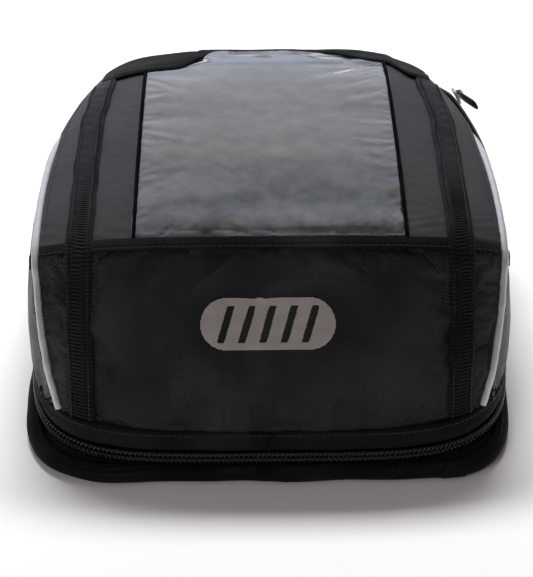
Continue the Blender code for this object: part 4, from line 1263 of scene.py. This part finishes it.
def build_window_backing():
    """Cloth at the back of the map pocket, and the narrow bindings along the film's long edges."""
    sheet("window_backing_cloth", on_lid, np.linspace(1.0, 1.985, 150), np.linspace(-0.076, 0.076, 110),
          BACKING, "lid", -0.0003, 0.0006, uneven(0.0004, 0.03, 105),
          stands_for="window_backing")
    for side, label in SIDES:
        def fold(along_a, along_b, length_a, length_b):
            round_edge = 0.0007 * np.sqrt(np.clip(1.0 - (2.0 * along_b / length_b - 1.0) ** 2, 0.0, 1.0))
            waves = 0.0002 * ripple(along_a, along_b, 0.01, 106 + side)
            return round_edge + waves + 0.00012 * rib(along_a, 0.0013)

        edges = side * (WINDOW_HALF_WIDTH + np.linspace(-0.0007, 0.0013, 10))
        rear = float(window_rear(side * WINDOW_HALF_WIDTH)) + 0.006
        sheet(f"window_binding_tape_{label}", on_lid, np.linspace(1.0, rear, 560), edges, TAPE_CLOTH, "lid",
              0.0028, 0.0007, fold, stands_for=f"window_binding_{label}")


def build_closure():
    """Hook and loop strips that close the rear edge of the map pocket."""
    for kind, low, high, mat in (("loop", 0.0003, 0.0009, LOOP_PILE), ("hook", 0.0011, 0.0017, HOOK_PILE)):
        sheet(f"window_{kind}_pile", shroud_at, np.linspace(-0.045, 0.045, 220),
              np.linspace(WINDOW_REAR - 0.055, WINDOW_REAR - 0.003, 24), mat, "lid", high, high - low,
              uneven(0.0001, 0.0012, 111), stands_for=f"window_{kind}_strip")


def build_cross_band():
    """Folded fabric band across the rear of the lid, wider at its ends."""
    def crosswise(x, t):
        low = window_rear(x) + 0.003 - (LEFT_FLARE - RIGHT_FLARE) * smoothstep(x, 0.070, 0.084)
        high = 1.992 - 0.004 * (np.abs(x) / 0.10) ** 3
        return shroud_at(x, low + (high - low) * t)

    def relief(along_a, along_b, length_a, length_b):
        fold = 0.0010 * np.sqrt(np.clip(1.0 - (2.0 * along_b / length_b - 1.0) ** 6, 0.0, 1.0))
        groove = 0.0004 * ridge(along_b, 0.0016, 0.0005)
        return fold - groove + 0.0005 * ripple(along_a, along_b, 0.018, 121) + 0.00008 * rib(along_a, 0.0010)

    sheet("rear_band_cloth", crosswise, np.linspace(-0.0925, 0.0925, 420), np.linspace(0.0, 1.0, 26),
          BAND_CLOTH, "lid", 0.0026, 0.0012, relief, stands_for="rear_cross_band")
    seam_on("rear_band_stitches", crosswise, np.linspace(-0.0915, 0.0915, 200), 0.12, 0.0034, "lid")


def build_lid_lining():
    sheet("lid_lining", shroud, np.linspace(-0.90, 0.90, 140), np.linspace(1.048, 1.93, 90), LINING, "lid",
          -0.0038, 0.0036, stands_for="lid_foam")


# ---- zip sliders and pulls ---------------------------------------------------------------------------
def plate(outlines, thickness, bevel, mat, place=(0.0, 0.0, 0.0)):
    """Flat plate with rounded edges, and its place. The first outline is its edge, the others are holes."""
    curve = bpy.data.curves.new("plate", "CURVE")
    curve.dimensions, curve.fill_mode = "2D", "BOTH"
    curve.extrude = 0.5 * thickness - bevel
    curve.bevel_depth, curve.bevel_resolution, curve.offset = bevel, 2, -bevel
    for line in outlines:
        spline = curve.splines.new("POLY")
        spline.points.add(len(line) - 1)
        for point, (x, y) in zip(spline.points, line):
            point.co = (x, y, 0.0, 1.0)
        spline.use_cyclic_u = True
    obj = bpy.data.objects.new("plate", curve)
    bpy.context.scene.collection.objects.link(obj)
    mesh = bpy.data.meshes.new_from_object(obj.evaluated_get(bpy.context.evaluated_depsgraph_get()))
    bpy.data.objects.remove(obj)
    mesh.materials.clear()
    mesh.materials.append(mat)
    return mesh, Matrix.Translation(place)


def rounded_rectangle(length, width, radius, centre_x=0.0, steps=6):
    points = []
    for quarter, (sx, sy) in enumerate(((1, 1), (-1, 1), (-1, -1), (1, -1))):
        for k in range(steps + 1):
            angle = 0.5 * math.pi * (quarter + k / steps)
            points.append((centre_x + sx * (0.5 * length - radius) + radius * math.cos(angle),
                           sy * (0.5 * width - radius) + radius * math.sin(angle)))
    return points


def mirrored(corners, count):
    """Closed outline: a smooth line through the corners, and back along its mirror image."""
    side = catmull_rom(np.array(corners), np.linspace(0.0, 1.0, count))
    return [tuple(point) for point in side] + [(x, -y) for x, y in side[::-1]]


def slider_outline(length, front, rear):
    """Slider seen from above: broad shoulders in front, narrower behind."""
    half = 0.5 * length
    return mirrored([(half, 0.18 * front), (0.80 * half, 0.46 * front), (0.25 * half, 0.50 * front),
                     (-0.45 * half, 0.5 * rear), (-0.92 * half, 0.46 * rear), (-half, 0.25 * rear)], 18)


def joined(name, meshes, mat, place, body):
    """One piece from several meshes, each with its own place in the piece's frame."""
    merged = bmesh.new()
    for mesh, matrix in meshes:
        mesh.transform(matrix)
        merged.from_mesh(mesh)
        bpy.data.meshes.remove(mesh)
    mesh = bpy.data.meshes.new(name)
    merged.to_mesh(mesh)
    merged.free()
    mesh.transform(place)
    mesh.shade_smooth()
    obj = new_object(name, mesh, mat, body)
    split = obj.modifiers.new("Edges", "EDGE_SPLIT")
    split.split_angle = math.radians(40.0)
    return obj


def zip_place(prefix):
    """Frames of a slider and of its pull: x along the zip, y along the crossbar, z away from the bag."""
    travel, swing = JOINTS[f"{prefix}_slider_travel"], JOINTS[f"{prefix}_pull_swing"]
    x, y = Vector(travel["axis"]).normalized(), -Vector(swing["axis"]).normalized()
    z = x.cross(y).normalized()
    rotation = Matrix((x, z.cross(x), z)).transposed().to_4x4()
    lifted = rotation @ Matrix.Rotation(-math.radians(PULL_LIFT[prefix]), 4, "Y")
    return Matrix.Translation(travel["pos_m"]) @ rotation, Matrix.Translation(swing["pos_m"]) @ lifted


def metal_strip(line, width, thickness, sides=16):
    """Flat metal strip with rounded edges, bent along a line in the x-z plane."""
    points = np.array([(x, 0.0, z) for x, z in line])
    tangent = unit(np.gradient(points, axis=0))
    normal = np.stack([-tangent[:, 2], 0.0 * tangent[:, 0], tangent[:, 0]], axis=1)
    angles = np.arange(sides) * math.tau / sides
    across = np.outer(squared(np.cos(angles), 0.4), (0.0, 0.5 * width, 0.0))
    through = 0.5 * thickness * squared(np.sin(angles), 0.4)
    skin = points[:, None] + normal[:, None] * through[None, :, None] + across[None]
    return mesh_of("strip", skin.reshape(-1, 3), tube_quads(len(points), sides))


def build_slider(prefix):
    """Cast slider body with side rails and the bent arch that holds the pull."""
    place = zip_place(prefix)[0]
    arch_line = [(-0.0036, 0.0006), (-0.0036, 0.0024), (-0.0028, 0.0038), (-0.0010, 0.0045), (0.0012, 0.0045),
                 (0.0028, 0.0037), (0.0036, 0.0022), (0.0036, 0.0006)]
    arch = metal_strip(catmull_rom(np.array(arch_line), np.linspace(0.0, 1.0, 34)), 0.0028, 0.0010)
    meshes = [plate([slider_outline(0.0108, 0.0090, 0.0072)], 0.0014, 0.00040, NICKEL, (0.0, 0.0, 0.0007)),
              (arch, Matrix.Identity(4))]
    for side in (-1, 1):
        rail = rounded_rectangle(0.0066, 0.0011, 0.0005)
        meshes.append(plate([rail], 0.0012, 0.0003, NICKEL, (-0.0008, side * 0.0031, 0.0004)))
    slider = joined(f"{prefix}_slider_body", meshes, NICKEL, place, f"{prefix}_slider")
    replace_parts(slider, f"{prefix}_zip_slider")


def build_pull(prefix):
    """Flat pull with an eye for the arch, a raised panel, and a hole with a metal rim near its end."""
    place = zip_place(prefix)[1]
    edge = mirrored([(-0.00045, 0.0022), (0.0030, 0.0024), (0.0060, 0.0031), (0.0180, 0.0033),
                     (0.0219, 0.0030), (0.02355, 0.0016)], 26)
    hole_place, hole_radius, rim_radius = 0.0202, 0.0014, 0.0016
    around = np.arange(20) * math.tau / 20
    hole = [(hole_place + hole_radius * math.cos(a), hole_radius * math.sin(a)) for a in around]
    eye = rounded_rectangle(0.0040, 0.0030, 0.0008, 0.0025)
    raised = rounded_rectangle(0.0086, 0.0042, 0.0012, 0.0112)
    meshes = [plate([edge, eye, hole], 0.0011, 0.0003, GUNMETAL), plate([raised], 0.0015, 0.00025, GUNMETAL)]
    pull = joined(f"{prefix}_pull_plate", meshes, GUNMETAL, place, f"{prefix}_pull")
    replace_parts(pull, f"{prefix}_zip_pull")
    angles = np.arange(24) * math.tau / 24
    rim_line = np.stack([hole_place + rim_radius * np.cos(angles), rim_radius * np.sin(angles),
                         np.full(24, 0.0005)], axis=1)
    rim = tube_mesh("rim", rim_line, 0.0004, sides=8, ring=True)
    joined(f"{prefix}_pull_hole_rim", [(rim, Matrix.Identity(4))], NICKEL, place, f"{prefix}_pull")


def finish_frame():
    """Materials for the CAD nodes that stay as they are: board and magnets."""
    kept = {"base_board": STIFFENER}
    kept.update({name: STEEL for name in frame["nodes"] if name.startswith("magnet_")})
    for name, mat in kept.items():
        mesh = frame["nodes"][name].data
        mesh.materials.clear()
        mesh.materials.append(mat)


# ---- studio ------------------------------------------------------------------------------------------
def build_floor():
    mat = new_material("studio_floor", (0.93, 0.93, 0.94), 0.5)[0]
    half, z = 6.0, -0.0004
    mesh = bpy.data.meshes.new("floor")
    mesh.from_pydata([(-half, -half, z), (half, -half, z), (half, half, z), (-half, half, z)], [],
                     [(0, 1, 2, 3)])
    new_object("floor", mesh, mat, None)


def build_world():
    """A warm dim fill, and a cool band behind the bag that only shiny surfaces mirror."""
    world = bpy.data.worlds.new("studio")
    bpy.context.scene.world = world
    world.use_nodes = True
    tree = world.node_tree
    direction = node(tree, "TexCoord", {}).outputs["Generated"]
    rearward = node(tree, "VectorMath", {0: direction, 1: (-0.24, 0.81, 0.54)},
                    operation="DOT_PRODUCT").outputs["Value"]
    shade = node(tree, "ValToRGB", {"Fac": rearward}).outputs["Color"]
    stops = shade.node.color_ramp
    stops.elements[0].position, stops.elements[0].color = 0.0, (0.20, 0.19, 0.18, 1.0)
    stops.elements[1].position, stops.elements[1].color = 0.96, (0.90, 0.96, 1.08, 1.0)
    for place, colour in ((0.60, (0.31, 0.30, 0.29, 1.0)), (0.86, (0.78, 0.84, 0.96, 1.0))):
        stops.elements.new(place).color = colour
    fill = tree.nodes["Background"]
    fill.inputs["Color"].default_value = (1.0, 0.85, 0.78, 1.0)
    fill.inputs["Strength"].default_value = 0.17
    sky = node(tree, "Background", {"Color": shade})
    seen_by_shine = node(tree, "LightPath", {}).outputs["Is Glossy Ray"]
    either = node(tree, "MixShader", {0: seen_by_shine, 1: fill.outputs[0], 2: sky.outputs[0]})
    tree.links.new(either.outputs[0], tree.nodes["World Output"].inputs["Surface"])


def build_lamps():
    for name, place, target, size, power, colour in (
            ("key", (-0.08, 0.82, 1.45), (0, -0.1, 0), (0.9, 0.28), 35.0, (0.98, 0.99, 1.0)),
            ("front", (-0.8, -1.3, 1.1), (0, -0.1, 0.05), (0.7, 0.5), 4.5, (0.98, 0.98, 1.0))):
        light = bpy.data.lights.new(name, "AREA")
        light.shape, light.size, light.size_y = "RECTANGLE", *size
        light.energy, light.color = power, colour
        lamp = bpy.data.objects.new(name, light)
        lamp.location = place
        lamp.rotation_euler = (Vector(target) - Vector(place)).to_track_quat("-Z", "Y").to_euler()
        lamp.visible_glossy = False
        bpy.context.scene.collection.objects.link(lamp)


def build_camera():
    distance, elevation, yaw = 1.100, math.radians(33.0), math.radians(0.8)
    sensor_width, image_width, focal_length_in_pixels = 36.0, 533.0, 1930.0
    target = Vector((-0.0006, 0.0, 0.0189))
    level = math.cos(elevation)
    view = Vector((math.sin(yaw) * level, math.cos(yaw) * level, -math.sin(elevation)))
    data = bpy.data.cameras.new("camera")
    data.sensor_fit, data.sensor_width = "HORIZONTAL", sensor_width
    data.lens = sensor_width * focal_length_in_pixels / image_width
    camera = bpy.data.objects.new("camera", data)
    camera.location = target - view * distance
    camera.rotation_euler = view.to_track_quat("-Z", "Y").to_euler()
    bpy.context.scene.collection.objects.link(camera)
    bpy.context.scene.camera = camera


def build_base():
    build_base_sheets()
    build_binding()
    build_base_zip()
    build_hinge_web()


def build_bag():
    build_hem()
    build_bag_floor()
    front = settled_front()
    build_front_panel(front)
    build_hem_strip()
    build_mark(front)
    build_straps()
    build_piping()
    build_shoulder_web()
    build_walls()
    build_main_zip()


def build_lid():
    build_leather()
    build_film()
    build_window_backing()
    build_closure()
    build_cross_band()
    build_lid_lining()


def build_studio():
    build_floor()
    build_world()
    build_lamps()
    build_camera()
    bpy.context.scene.view_settings.view_transform = "Standard"


build_base()
build_bag()
build_lid()
for zip_name in ("main", "base"):
    build_slider(zip_name)
    build_pull(zip_name)
finish_frame()
build_studio()
